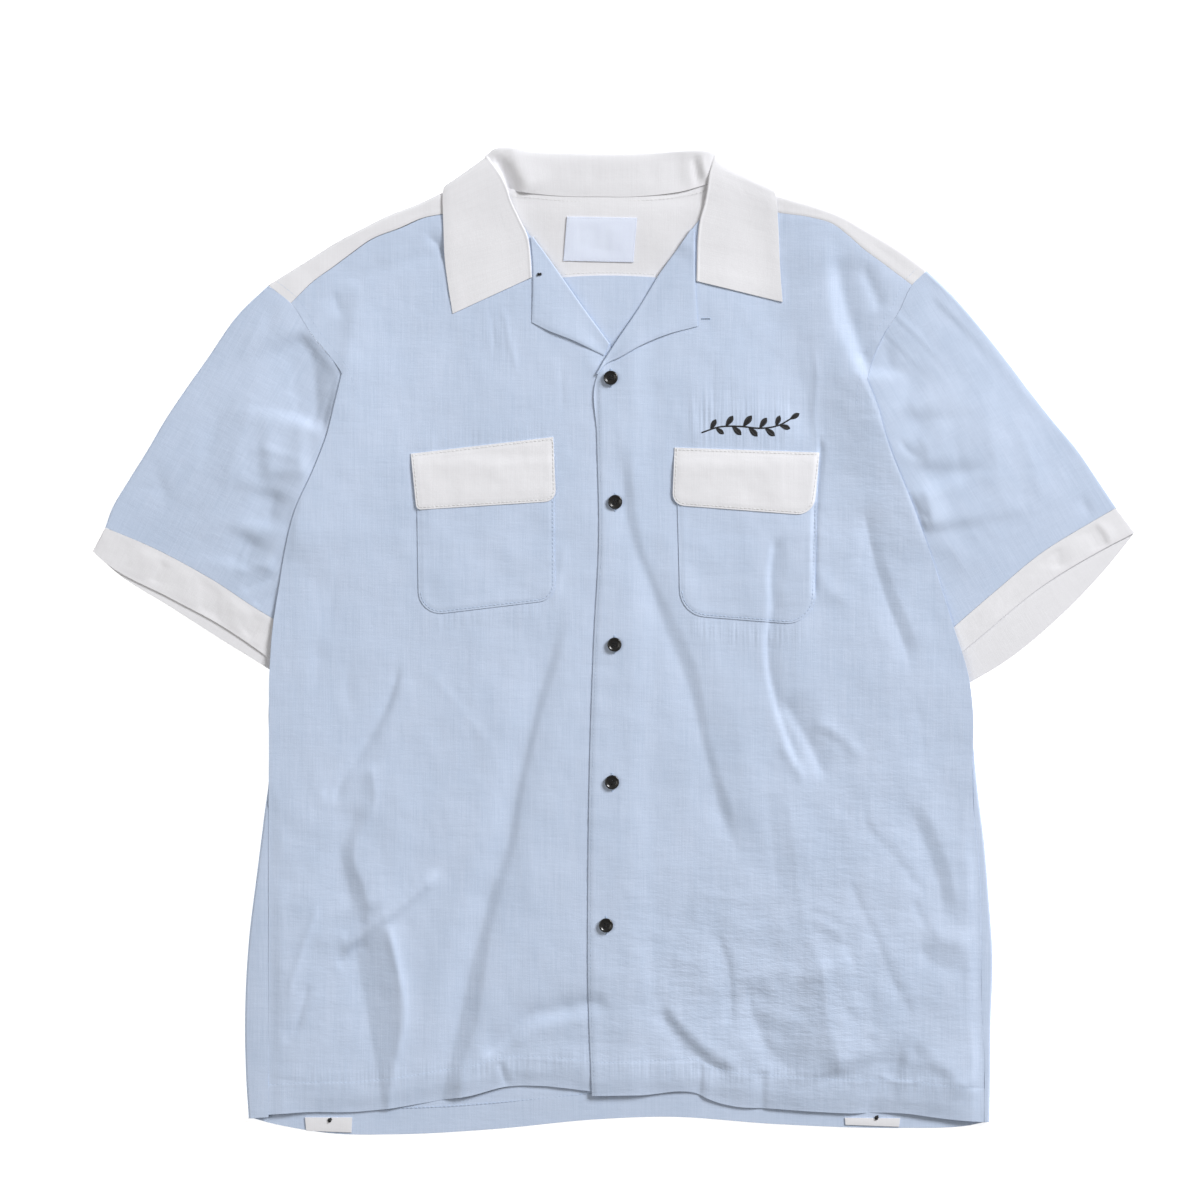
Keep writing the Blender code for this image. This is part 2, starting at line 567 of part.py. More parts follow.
def make_yoke():
    """One panel from the back seam over both shoulders, open round the neck."""
    shoulder = {side: even(SHIRT[side]["shoulder"], STRIP_COLUMNS + 1) for side in SHIRT}
    neck = even(NECK_SEAM, NECK_COLUMNS)
    ridge = np.concatenate([shoulder["right"], neck[1:-1], shoulder["left"][::-1]])
    count = len(ridge)
    sides = {}
    for side, cut in SHIRT.items():
        armhole = np.array(cut["armhole"][cut["yoke end"] :: -1], float)
        armhole[0] = YOKE_BACK_SEAM[0 if side == "right" else -1]
        sides[side] = even(armhole, YOKE_ROWS)
    plan = between(even(YOKE_BACK_SEAM, count), ridge, sides["right"], sides["left"])
    plan = trimmed(plan, first_row=SEAM_GAP, first_column=SEAM_GAP, last_column=SEAM_GAP)
    floor = lifted(plan, yoke_floor(plan[..., 0], plan[..., 1]))

    front_seam = {side: even(SHIRT[side]["yoke seam"], STRIP_COLUMNS + 1) for side in SHIRT}
    strip_end = np.concatenate([front_seam["right"], neck[1:-1], front_seam["left"][::-1]])
    base = floor[-1]
    top = front_height(base[:, 0], base[:, 1])
    radius = np.maximum((top - base[:, 2]) / 2, 0.8)
    down = strip_end - base[:, :2]
    length = np.linalg.norm(down, axis=1)
    down /= np.maximum(length, 1e-6)[:, None]
    rows = []
    for angle in np.linspace(0, math.pi, TURN_STEPS + 1)[1:]:
        flat = base[:, :2] + down * (radius * (1 - math.sin(angle)))[:, None]
        rows.append(lifted(flat, base[:, 2] + radius * (1 - math.cos(angle))))
    start = base[:, :2] + down * radius[:, None]
    for share in (0.33, 0.66, 1.0):
        flat = start + (strip_end - down * SEAM_GAP - start) * share
        rows.append(lifted(flat, front_height(flat[:, 0], flat[:, 1])))
    folded = np.abs(np.arange(count) - (count - 1) / 2) >= (count - 1) / 2 - STRIP_COLUMNS
    floor[-1, folded, :2] = start[folded]
    grid = np.concatenate([floor, np.stack(rows)])
    keep = np.ones((len(grid) - 1, count - 1), bool)
    keep[len(floor) - 1 :, STRIP_COLUMNS : count - 1 - STRIP_COLUMNS] = False
    cloth("yoke", grid, "contrast_cloth", keep=keep)
    return floor


def flat_tube(top, bottom, top_height):
    """Rings of a tube pressed flat: over the top, round one fold, back underneath, round the other."""
    folds = []
    for end, inside in ((-1, -2), (0, 1)):
        line = (top[:, end] + bottom[:, end]) / 2
        away = outward(line, (top[:, inside] + bottom[:, inside]) / 2)
        radius = (top_height[:, end] - TABLE_LAYER) / 2
        inset = radius + 0.5 * CLOTH + 0.5 * SEAM_GAP
        columns = []
        for angle in np.linspace(math.pi / 2, -math.pi / 2, 5):
            share = (1 - math.sin(angle)) / 2
            edge = top[:, end] * (1 - share) + bottom[:, end] * share
            flat = edge - away * (inset - radius * math.cos(angle))[:, None]
            columns.append(lifted(flat, TABLE_LAYER + radius * (1 + math.sin(angle))))
        folds.append(np.stack(columns, axis=1))
    over = lifted(top[:, 1:-1], top_height[:, 1:-1])
    under = lifted(bottom[:, 1:-1], TABLE_LAYER)
    return np.concatenate([over, folds[0], under[:, ::-1], folds[1][:, ::-1]], axis=1)


def make_sleeve(side):
    """A sleeve pressed flat; its seam lies under the front's edge and on the back's."""
    cut = SHIRT[side]
    armhole = np.array(cut["armhole"], float)
    cuff = even(cut["cuff seam"], len(armhole))
    underarm = even(cut["underarm"], SLEEVE_ROWS)
    plan = between(armhole, cuff, even(cut["sleeve fold"], SLEEVE_ROWS), underarm)
    plan = trimmed(plan, first_row=SEAM_GAP, last_row=SEAM_GAP)
    fold = TABLE_LAYER + FOLD_HEIGHT
    dip = np.array(cut["sleeve dip"])
    seam = front_height(armhole[: len(dip), 0], armhole[: len(dip), 1], side)
    at_armhole = np.full(len(armhole), fold)
    at_armhole[: len(dip)] = np.maximum(seam - dip, fold)
    down = np.linspace(0, 1, SLEEVE_ROWS)[:, None]
    across = np.linspace(0, 1, len(armhole))[None]
    height = fold + (at_armhole[None] - fold) * (1 - smoothstep(down, 0, 0.35))
    belly = np.sin(math.pi * across) ** 0.8 * np.sin(math.pi * down) * (across < 0.96)
    height = height + SLEEVE_BELLY * belly
    fold_x = np.interp(plan[..., 1], *zip(*[(y, x) for x, y in cut["outer"]]))
    clear = smoothstep(np.abs(plan[..., 0]) - np.abs(fold_x), 2, 40)
    corner_y = cut["outer"][-1][1]
    clear = np.maximum(clear, smoothstep(plan[..., 1], corner_y - 4, corner_y + 16))
    height = fold + (height - fold) * clear
    cloth("sleeve_" + side, flat_tube(plan, plan, height), "shirt_cloth", closed=True)


def make_cuff(side):
    """A deep cuff pressed flat; its under layer may reach past the upper one."""
    cut = SHIRT[side]
    seam = even(cut["cuff seam"], CUFF_COLUMNS)
    top_end = even(cut["cuff top"], CUFF_COLUMNS)
    bottom_end = even(cut["cuff bottom"], CUFF_COLUMNS)
    fold = even(cut["cuff fold"], CUFF_ROWS)
    top = between(seam, top_end, fold, even((tuple(seam[-1]), tuple(top_end[-1])), CUFF_ROWS))
    bottom = between(seam, bottom_end, fold, even((tuple(seam[-1]), tuple(bottom_end[-1])), CUFF_ROWS))
    top = trimmed(top, first_row=SEAM_GAP)
    bottom = trimmed(bottom, first_row=SEAM_GAP)
    height = np.full(top.shape[:2], TABLE_LAYER + FOLD_HEIGHT)
    cloth("cuff_" + side, flat_tube(top, bottom, height), "contrast_cloth", closed=True)


def make_lapel(side):
    """The facing from the front's rolled edge out to the lapel's free edge, lying on the front."""
    cut = SHIRT[side]
    roll = even(cut["lapel roll"], LAPEL_ROWS)
    lower = even(cut["lapel edge"], LAPEL_ROWS // 2 + 2)
    free = np.concatenate([lower, even(cut["lapel side"], LAPEL_ROWS // 2 - 1)[1:]])
    inward = outward(roll, free)
    base = front_height(roll[:, 0], roll[:, 1], side)
    columns = []
    for angle in np.linspace(0, math.pi, TURN_STEPS):
        flat = roll + inward * (3 * SEAM_GAP + ROLLED_EDGE * math.sin(angle))
        columns.append(lifted(flat, base + ROLLED_EDGE * (1 - math.cos(angle))))
    for share in np.linspace(0, 1, LAPEL_COLUMNS)[1:]:
        flat = roll + (free - roll) * share
        height = front_height(flat[:, 0], flat[:, 1], side) + 2 * ROLLED_EDGE
        columns.append(lifted(flat, height))
    cloth("facing_" + side, np.stack(columns, axis=1), "shirt_cloth")


def at_height(place, resting):
    """A collar point at its own height, or at the resting one where it has none."""
    return np.array([place[0], place[1], resting if place[2] is None else place[2]], float)


def collar_section(seam, crown, swing, edge):
    """Points of one collar section: up the stand, round the roll and down the fall."""
    turn = math.radians(swing)
    radius = COLLAR_ROLL + (COLLAR_OPEN_ROLL - COLLAR_ROLL) * (1 - smoothstep(swing, 0, 175))
    resting = float(front_height(crown[0], crown[1])) + STAND_REST
    seam = at_height(seam, resting)
    crown = at_height(crown, resting + radius)
    edge = at_height(edge, float(front_height(edge[0], edge[1])) + COLLAR_REST)
    up = crown - seam
    up[2] = 0
    up /= np.linalg.norm(up)
    side = edge - crown
    side[2] = 0
    side -= up * (side @ up)
    if np.linalg.norm(side) > 1e-6:
        side /= np.linalg.norm(side)
    out = np.array([0, 0, -math.cos(turn)]) + side * math.sin(turn)
    out /= np.linalg.norm(out)
    if swing > 150:
        up = crown - edge
        up[2] = 0
        up /= np.linalg.norm(up)
    points = [seam]
    middle = crown - up * radius
    stand_end = middle - out * radius
    half_way = 0.5 if np.linalg.norm(stand_end - seam) > 8 else 0.4
    points.append(seam * (1 - half_way) + stand_end * half_way)
    for angle in np.linspace(0, math.pi, TURN_STEPS):
        points.append(middle - out * radius * math.cos(angle) + up * radius * math.sin(angle))
    fall = points[-1]
    for share in np.linspace(0, 1, FALL_COLUMNS + 1)[1:]:
        point = fall + (edge - fall) * share
        if swing > 165:
            lift = fall[2] - float(front_height(fall[0], fall[1])) - COLLAR_REST
            rest = float(front_height(point[0], point[1])) + COLLAR_REST
            point[2] = rest + lift * (1 - share) ** 2
        elif swing < 60:
            point[2] = edge[2] + (fall[2] - edge[2]) * max(0.0, 1 - 2.6 * share) ** 1.5
        points.append(point)
    return np.array(points)


def make_collar():
    cloth("collar", np.stack([collar_section(*section) for section in COLLAR]), "contrast_cloth")


def make_buttons():
    """Four-hole shirt buttons: a turned disc with a raised rim, tilted with the cloth below it."""
    profile = (
        (0, 0),
        (BUTTON_RADIUS * 0.72, 0),
        (BUTTON_RADIUS, BUTTON_RIM),
        (BUTTON_RADIUS, BUTTON_THICK - 0.7),
        (BUTTON_RADIUS - BUTTON_RIM, BUTTON_THICK),
        (BUTTON_RADIUS - 2 * BUTTON_RIM - 0.1, BUTTON_FLOOR),
        (0, BUTTON_FLOOR),
    )
    for number, (x, y) in enumerate(BUTTONS, start=1):
        name = f"button_{number}"
        mesh = bpy.data.meshes.new(name)
        points = [(radius * MM, 0, height * MM) for radius, height in reversed(profile)]
        mesh.from_pydata(points, [(i, i + 1) for i in range(len(points) - 1)], [])
        mesh.materials.append(MATERIALS["button_plastic"])
        button = bpy.data.objects.new(name, mesh)
        PARTS.objects.link(button)
        turned = button.modifiers.new("turned", "SCREW")
        turned.axis = "Z"
        turned.steps = BUTTON_STEPS
        turned.render_steps = BUTTON_STEPS
        turned.use_merge_vertices = True
        turned.merge_threshold = 0.00001
        slope_x = float(front_height(x + 5, y, "left") - front_height(x - 5, y, "left")) / 10
        slope_y = float(front_height(x, y + 5, "left") - front_height(x, y - 5, "left")) / 10
        height = float(front_height(x, y, "left")) + 0.5 * CLOTH + SEAM_GAP + BUTTON_LIFT
        button.location = ((x + CENTRE_X) * MM, (y + CENTRE_Y) * MM, height * MM)
        button.rotation_euler = (math.atan(slope_y), -math.atan(slope_x), 0)
        for hole, (dx, dy) in enumerate(((1, 1), (-1, 1), (-1, -1), (1, -1))):
            drill = bmesh.new()
            bmesh.ops.create_cone(
                drill,
                cap_ends=True,
                segments=6,
                radius1=HOLE_RADIUS * MM,
                radius2=HOLE_RADIUS * MM,
                depth=8 * MM,
            )
            drill_mesh = bpy.data.meshes.new(f"{name}_hole_{hole}")
            drill.to_mesh(drill_mesh)
            drill.free()
            cutter = bpy.data.objects.new(f"{name}_hole_{hole}", drill_mesh)
            cutter.parent = button
            cutter.location = (HOLE_OFFSET * dx * MM, HOLE_OFFSET * dy * MM, 0)
            cutter.hide_render = True
            cutter.display_type = "WIRE"
            CUTTERS.objects.link(cutter)
            trim_to(button, cutter, "DIFFERENCE")


# ---------------------------------------------------------------- the shirt

clear_scene()
PARTS = collection("bowling_shirt")
CUTTERS = collection("cutters")
CUTTERS.hide_render = True
MATERIALS = {name: material(name) for name in COLOURS}

fronts = {side: make_front(side) for side in SHIRT}
back = make_back()
yoke = make_yoke()
for shirt_side in SHIRT:
    make_sleeve(shirt_side)
    make_cuff(shirt_side)
    make_lapel(shirt_side)
    front = fronts[shirt_side]
    patch_on("pocket_" + shirt_side, front, PATCH_RISE, rounded(POCKET[shirt_side]), "shirt_cloth")
    patch_on(
        "flap_" + shirt_side,
        front,
        lambda x, y: PATCH_RISE * (2 - smoothstep(y, FLAP_FOLD_Y, FLAP_FOLD_Y + FLAP_FOLD_WIDTH)),
        rounded(FLAP[shirt_side]),
        "contrast_cloth",
    )
    patch_on("hem_tab_" + shirt_side, back, PATCH_RISE, HEM_TAB[shirt_side], "contrast_cloth")
make_collar()
patch_on("label", yoke, PATCH_RISE, LABEL, "label_cloth")
make_buttons()
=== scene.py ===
"""The looks of the short-sleeved bowling shirt, laid flat and seen from straight above.

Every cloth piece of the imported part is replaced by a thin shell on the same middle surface, with the
finer creases, seam ditches and puckers that the cloth has. Tables and functions work in millimetres,
X across the shirt, Y from hem to collar, Z up from the table; meshes are written in metres. Left and
right are the wearer's, so the right half lies at negative X.
"""

import math

import bmesh
import bpy
import numpy as np
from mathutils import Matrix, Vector, noise


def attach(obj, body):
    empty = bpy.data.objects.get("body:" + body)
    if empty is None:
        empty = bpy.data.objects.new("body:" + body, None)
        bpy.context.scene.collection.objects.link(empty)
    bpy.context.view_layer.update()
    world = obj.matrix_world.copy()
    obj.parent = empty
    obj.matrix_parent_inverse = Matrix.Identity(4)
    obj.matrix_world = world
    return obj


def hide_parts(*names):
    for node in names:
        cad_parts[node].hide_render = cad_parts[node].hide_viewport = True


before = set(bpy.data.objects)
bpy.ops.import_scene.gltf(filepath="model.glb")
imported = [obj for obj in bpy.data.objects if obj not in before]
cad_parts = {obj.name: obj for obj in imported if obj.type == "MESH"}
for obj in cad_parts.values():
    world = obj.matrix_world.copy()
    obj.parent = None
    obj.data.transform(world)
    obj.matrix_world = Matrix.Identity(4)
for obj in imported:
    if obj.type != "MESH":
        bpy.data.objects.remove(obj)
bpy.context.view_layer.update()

# ---------------------------------------------------------------- driving dimensions, millimetres

MM = 0.001  # metres
CENTRE_X = 0.49  # moves the drawn shirt to the frame's middle
CENTRE_Y = -1.09
CLOTH = 0.8  # thickness of the shells
WALL = 1.1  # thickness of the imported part's cloth
SEAM_GAP = 0.08  # how far each piece stops short of a seam
TABLE_LAYER = 0.5 * WALL  # middle surface of cloth that lies on the table
OVERLAP_RISE = 1.5  # how much higher the left front lies on the right one's edge

# Sleeves and cuffs, which are tubes pressed flat: height of the top layer over the bottom one.
FOLD_HEIGHT = 2.6
SLEEVE_FOLD = TABLE_LAYER + FOLD_HEIGHT
SLEEVE_BELLY = 2.6  # extra height in the middle of a sleeve
SLEEVE_ROUNDNESS = 0.8  # power that gives the belly its form
SLEEVE_SINK = 1.2  # how far a crease may sink under the level of the folds
SLEEVE_UNDER_FRONT = 0.12  # gap between a sleeve and the front's edge on it
CUFF_HEIGHT = 1.8
CUFF_OPENING = {"right": 1.0, "left": 1.6}
CUFF_WAVES = (-0.7, 1.2)  # lowest and highest wave of a cuff's top layer

# The back, which wraps round both sides as far up as the side seams lie on top.
WRAP_RADIUS = 1.75
WRAP_TOP = {"right": -138.0, "left": -112.0}
WRAP_NARROWING = 0.97  # share of its radius that the wrap loses above its top
WRAP_TAIL = (0.2, 0.1, 3.0)  # what is added to the tail, its least width, and its growth above the top
WRAP_COLUMNS = 3  # columns of the panel that give way to each wrap
BACK_LIFT = 0.5  # mean height of the back over the table
NECK_HOLLOW = (8, 276, 62, 46)  # middle x, y and reach x, y of the part seen through the open neck
NECK_HOLLOW_CALM = 0.7
NECK_HOLLOW_LIFT = 1.45

# The yoke and the collar's stand behind the neck.
NECK_MIDDLE = -4.0
YOKE_OVER_FALL = 1.85
YOKE_WAVES = (-0.05, 0.6)
YOKE_LEAST_RADIUS = 0.8
YOKE_UNDER_COLLAR = 2.2  # how far the yoke reaches in under the foot of the stand
NECK_RISE = 5.2
NECK_LIFT = 0.85
STAND_REST = 0.6
STAND_ARCH = 1.5
STAND_FOOT = (0.62, 0.25)  # how far the foot and the next line of the stand sink into the neck seam
STAND_FOOT_TUCK = 0.9

# The collar's roll and fall.
COLLAR_REST = 1.1
COLLAR_ROLL = 0.4
COLLAR_OPEN_ROLL = 2.5
ROLL_PRESSED = 0.85
FALL_DROP = (2.6, 1.5)  # how soon and how steeply the hanging fall comes down to the table
FALL_EDGE = (0.35, 0.12)  # how far its edge and the line beside it are pressed down
COLLAR_ENDS = ((0, 0.35), (1, 0.2), (2, 0.08), (-1, 0.35), (-2, 0.2), (-3, 0.08))  # section, drop

# Lapels.
ROLLED_EDGE = 0.5
LAPEL_LIFT = 0.8
LAPEL_EDGE_DROP = 0.3

# Pieces sewn on: height over what they lie on, and how far the edge is drawn down.
POCKET_REST = 0.92
POCKET_EDGE = 0.35
FLAP_REST = 0.95
FLAP_ON_POCKET = 0.9
FLAP_EDGE = 0.3
TAB_REST = 1.0
TAB_EDGE = 0.1
LABEL_REST = 1.0
LABEL_EDGE = 0.15
LABEL_THICKNESS = 0.5
PATCH_STITCH = (0.22, 2.0, 0.8)  # depth of the stitched groove, distance from the edge, half width

# Height of the front's middle surface above the table, by distance up the shirt.
BED = (  # y, z
    (-392, 3.4),
    (-340, 4.7),
    (-200, 5.0),
    (0, 4.8),
    (150, 4.3),
    (250, 4.1),
    (300, 4.5),
    (340, 5.7),
    (375, 6.9),
)

# Folds and ridges of the fronts: height, half width, length over which each end fades, then its path.
FOLDS = (  # name, rise, half_width, fade, path (x, y)
    ("right body fold", 2.4, 46, 45, ((-208, 258), (-219, 213), (-230, 166), (-256, 104), (-266, 52))),
    ("left body fold", 2.4, 46, 45, ((190, 250), (201, 212), (217, 165), (240, 106), (258, 50))),
    ("right lapel edge", -0.7, 10, 14, ((-8, 236), (-25, 266), (-43.5, 292.5), (-58, 313), (-66, 324))),
    ("left lapel edge", -1.5, 12, 14, ((-12, 216), (0.3, 237.5), (19.5, 266), (38.5, 297), (56, 322))),
    ("right side seam", -0.7, 22, 30, ((-277, -90), (-277, -180), (-277, -280), (-277, -378))),
    ("left side seam", -0.7, 22, 30, ((288, -95), (292, -180), (294, -280), (297, -378))),
    ("left long drape", -0.85, 15, 60, ((-1, 165), (20, 82), (59, -7), (84, -110), (105, -190))),
    ("left long drape ridge", 0.65, 14, 60, ((26, 130), (44, 60), (84, -20), (108, -110), (124, -180))),
    ("left pocket drape", -0.25, 12, 35, ((130, 80), (125, 30), (127, -31), (144, -92))),
    ("left pocket drape ridge", 0.2, 14, 35, ((112, 70), (106, 20), (109, -35), (124, -92))),
    ("left waist dent", -0.55, 12, 25, ((138, -42), (155, -69), (168, -108))),
    ("left waist ridge", 0.35, 12, 25, ((158, -58), (182, -82), (205, -95))),
    ("left side dent", -0.65, 14, 25, ((236, -130), (252, -160), (264, -200))),
    ("left lower drape", -0.7, 18, 45, ((145, -170), (156, -225), (166, -260), (170, -310))),
    ("left lower ridge", 0.6, 16, 45, ((186, -180), (205, -235), (232, -294))),
    ("left hem crease", -0.8, 12, 22, ((33, -290), (62, -325), (98, -350))),
    ("left hem ridge", 0.7, 12, 25, ((52, -284), (80, -318), (112, -340))),
    ("left shoulder drape", -1.9, 26, 35,
     ((118, 352), (120, 300), (124, 262), (134, 228), (150, 196), (172, 150), (188, 104))),
    ("right long drape", -1, 13, 60, ((-42, 0), (-69, -72), (-82, -150), (-112, -254), (-134, -352))),
    ("right long drape ridge", 0.75, 14, 60,
     ((-66, -10), (-92, -84), (-106, -160), (-134, -250), (-156, -340))),
    ("right side drape", -0.95, 16, 40,
     ((-190, -92), (-200, -137), (-219, -170), (-203, -244), (-190, -330))),
    ("right side ridge", 0.8, 14, 40,
     ((-166, -100), (-174, -150), (-186, -206), (-174, -270), (-168, -325))),
    ("right cross ridge", 0.7, 13, 25, ((-152, -196), (-196, -228), (-224, -256))),
    ("right waist dent", -0.65, 14, 35, ((-174, -15), (-192, -62), (-218, -115))),
    ("right hem dent", -0.55, 12, 22, ((-20, -293), (-70, -304), (-108, -328))),
)

# ---------------------------------------------------------------- seams and edges, millimetres

PLACKET_EDGE = ((-18, -363), (-21.2, -270), (-21.2, -206), (-18.8, -62), (-16.4, 2), (-12.4, 83),
                (-14, 165), (-14.6, 211))

SHIRT = {
    "right": {
        # The button side's edge runs 22 mm under the other front, then up the roll of its lapel.
        "inner": ((4, -361), (1, -206), (3.4, -62), (6, 2), (9.6, 83), (8, 165), (6, 218), (-4, 238),
                  (-25, 266), (-43.5, 292.5), (-58, 313), (-70, 329), (-80, 342), (-90, 354)),
        "hem": ((-277, -378), (-244, -376), (-208, -376), (-186, -374), (-138, -366.5), (-116, -363),
                (-85, -355.5), (-61, -355), (-17, -359.5), (4, -361)),
        "outer": ((-277, -378), (-277, -330), (-277, -280), (-277, -230), (-277, -180), (-277, -133),
                  (-276.5, -100), (-276.5, -60), (-276, -21), (-273, 17), (-269, 42), (-264, 72),
                  (-256, 104), (-240, 140), (-230, 166), (-224, 190), (-218, 215)),
        "armhole": ((-277, 286), (-259, 271.5), (-242, 246), (-228, 229), (-218, 215), (-212.5, 190),
                    (-212, 158), (-221, 124), (-234.5, 94), (-250, 62)),
        "yoke seam": ((-259, 271.5), (-240, 290), (-226, 300), (-210, 312), (-196, 322), (-171, 332),
                      (-154, 339.5), (-137, 343), (-115, 349), (-92, 354)),
        "shoulder": ((-277, 286), (-248, 304), (-221, 321), (-202, 331), (-180, 342), (-159, 350),
                     (-136, 360), (-116, 366), (-97, 370)),
        "side": ((-293, -381), (-295, -350), (-296, -302), (-293, -240), (-286, -182), (-280, -134),
                 (-277, -110), (-276.5, -86), (-277, -50), (-273, -24), (-264, 14.5)),
        # Armhole point where the yoke's back seam ends, and how far the sleeve dips under the seam.
        "yoke end": 3,
        "sleeve dip": (0, 0, 0, 0.3, 1.7),
        "sleeve fold": ((-277, 286), (-300, 264), (-327, 226), (-344, 202), (-360, 178), (-374, 154),
                        (-389, 130), (-403, 106), (-408, 92)),
        "underarm": ((-250, 62), (-264, 14.5)),
        "cuff seam": ((-408, 92), (-370, 76), (-325, 52), (-273, 19), (-264, 14.5)),
        "cuff fold": ((-408, 92), (-418, 73)),
        "cuff top": ((-418, 73), (-408, 64), (-355, 35), (-316, 14), (-275, -14), (-271, -17)),
        "cuff bottom": ((-418, 73), (-399, 56), (-355, 28), (-313, 1), (-276, -22), (-273, -24)),
        "lapel roll": ((-4.5, 238.2), (-25, 266), (-43.5, 292.5), (-58, 313), (-66, 323.7)),
        "lapel edge": ((-8.5, 229.6), (-34, 242), (-53, 249.5), (-66, 256)),
        "lapel side": ((-66, 256), (-65.3, 289), (-65.5, 306), (-67, 324)),
    },
    "left": {
        "inner": PLACKET_EDGE + ((-9, 223), (-1, 236), (19.5, 266), (38.5, 297), (52, 315.5), (63, 332),
                                 (73, 344), (84, 356)),
        "hem": ((-18, -363), (20, -362.5), (68, -362), (76, -366), (99, -372), (119, -373),
                (164, -376), (184, -377), (229, -377), (270, -382), (296, -384)),
        "outer": ((296, -384), (296.4, -337), (293.7, -292), (293.3, -235), (292, -180), (288, -142),
                  (286.5, -100), (287, -56), (284, -30), (270, 17), (263, 40), (256, 62), (248, 84),
                  (240, 106), (217, 165), (210, 190), (202, 210)),
        "armhole": ((250, 298), (238, 286), (227, 264), (217, 249), (209, 233), (202, 210),
                    (199, 182), (202, 150), (212, 117), (225, 88), (240, 60)),
        "yoke seam": ((238, 286), (214, 304), (199, 315), (187, 325.5), (174, 335), (157, 340),
                      (130.5, 344), (108, 350), (84, 356)),
        "shoulder": ((250, 298), (227, 315), (202, 330), (183, 341), (168, 347), (153, 352),
                     (128, 358.5), (108, 366), (88, 372)),
        "side": ((300.5, -384), (301, -350), (301.5, -302), (303, -254), (300, -206), (296, -158),
                 (291, -118), (288, -86), (286, -55), (276, -37), (261, 3)),
        "yoke end": 4,
        "sleeve dip": (0, 0, 0, 0.3, 1.7, 1.7),
        "sleeve fold": ((250, 298), (269, 280), (295, 250), (314, 226), (332, 202), (351, 178),
                        (371, 154), (388, 129), (402, 108)),
        "underarm": ((240, 60), (261, 3)),
        "cuff seam": ((402, 108), (383, 97), (341, 71), (306, 42), (261, 3)),
        "cuff fold": ((402, 108), (417, 88)),
        "cuff top": ((417, 88), (392, 75), (341, 44), (297, 8), (277, -9), (268, -17)),
        "cuff bottom": ((417, 88), (394.5, 60), (356, 20), (312, -16), (285, -32), (276, -37)),
        "lapel roll": ((-13.6, 214.5), (-8.2, 224.3), (0.3, 237.5), (19.5, 266), (38.5, 297),
                       (52, 315.5), (62, 330)),
        "lapel edge": ((-13.6, 214.5), (-8, 222), (4, 228), (22, 238), (41, 246), (66.6, 253)),
        "lapel side": ((66.6, 253), (65, 280), (64.4, 300), (63.6, 330)),
    },
}

YOKE_BACK_SEAM = ((-229, 230), (-180, 258), (-120, 278), (-45, 292), (36, 292), (110, 280), (170, 262),
                  (208, 234))
NECK_SEAM = ((-97, 370), (-84, 361), (-68, 359), (-38, 356), (4, 356), (41, 358), (60, 361), (74, 365),
             (88, 372))
BACK_HEM = ((-293, -381), (-267, -387), (-230, -393), (-171, -394), (-98, -390), (-13, -382), (40, -380),
            (131, -386), (229, -389), (284, -387), (300.5, -384))

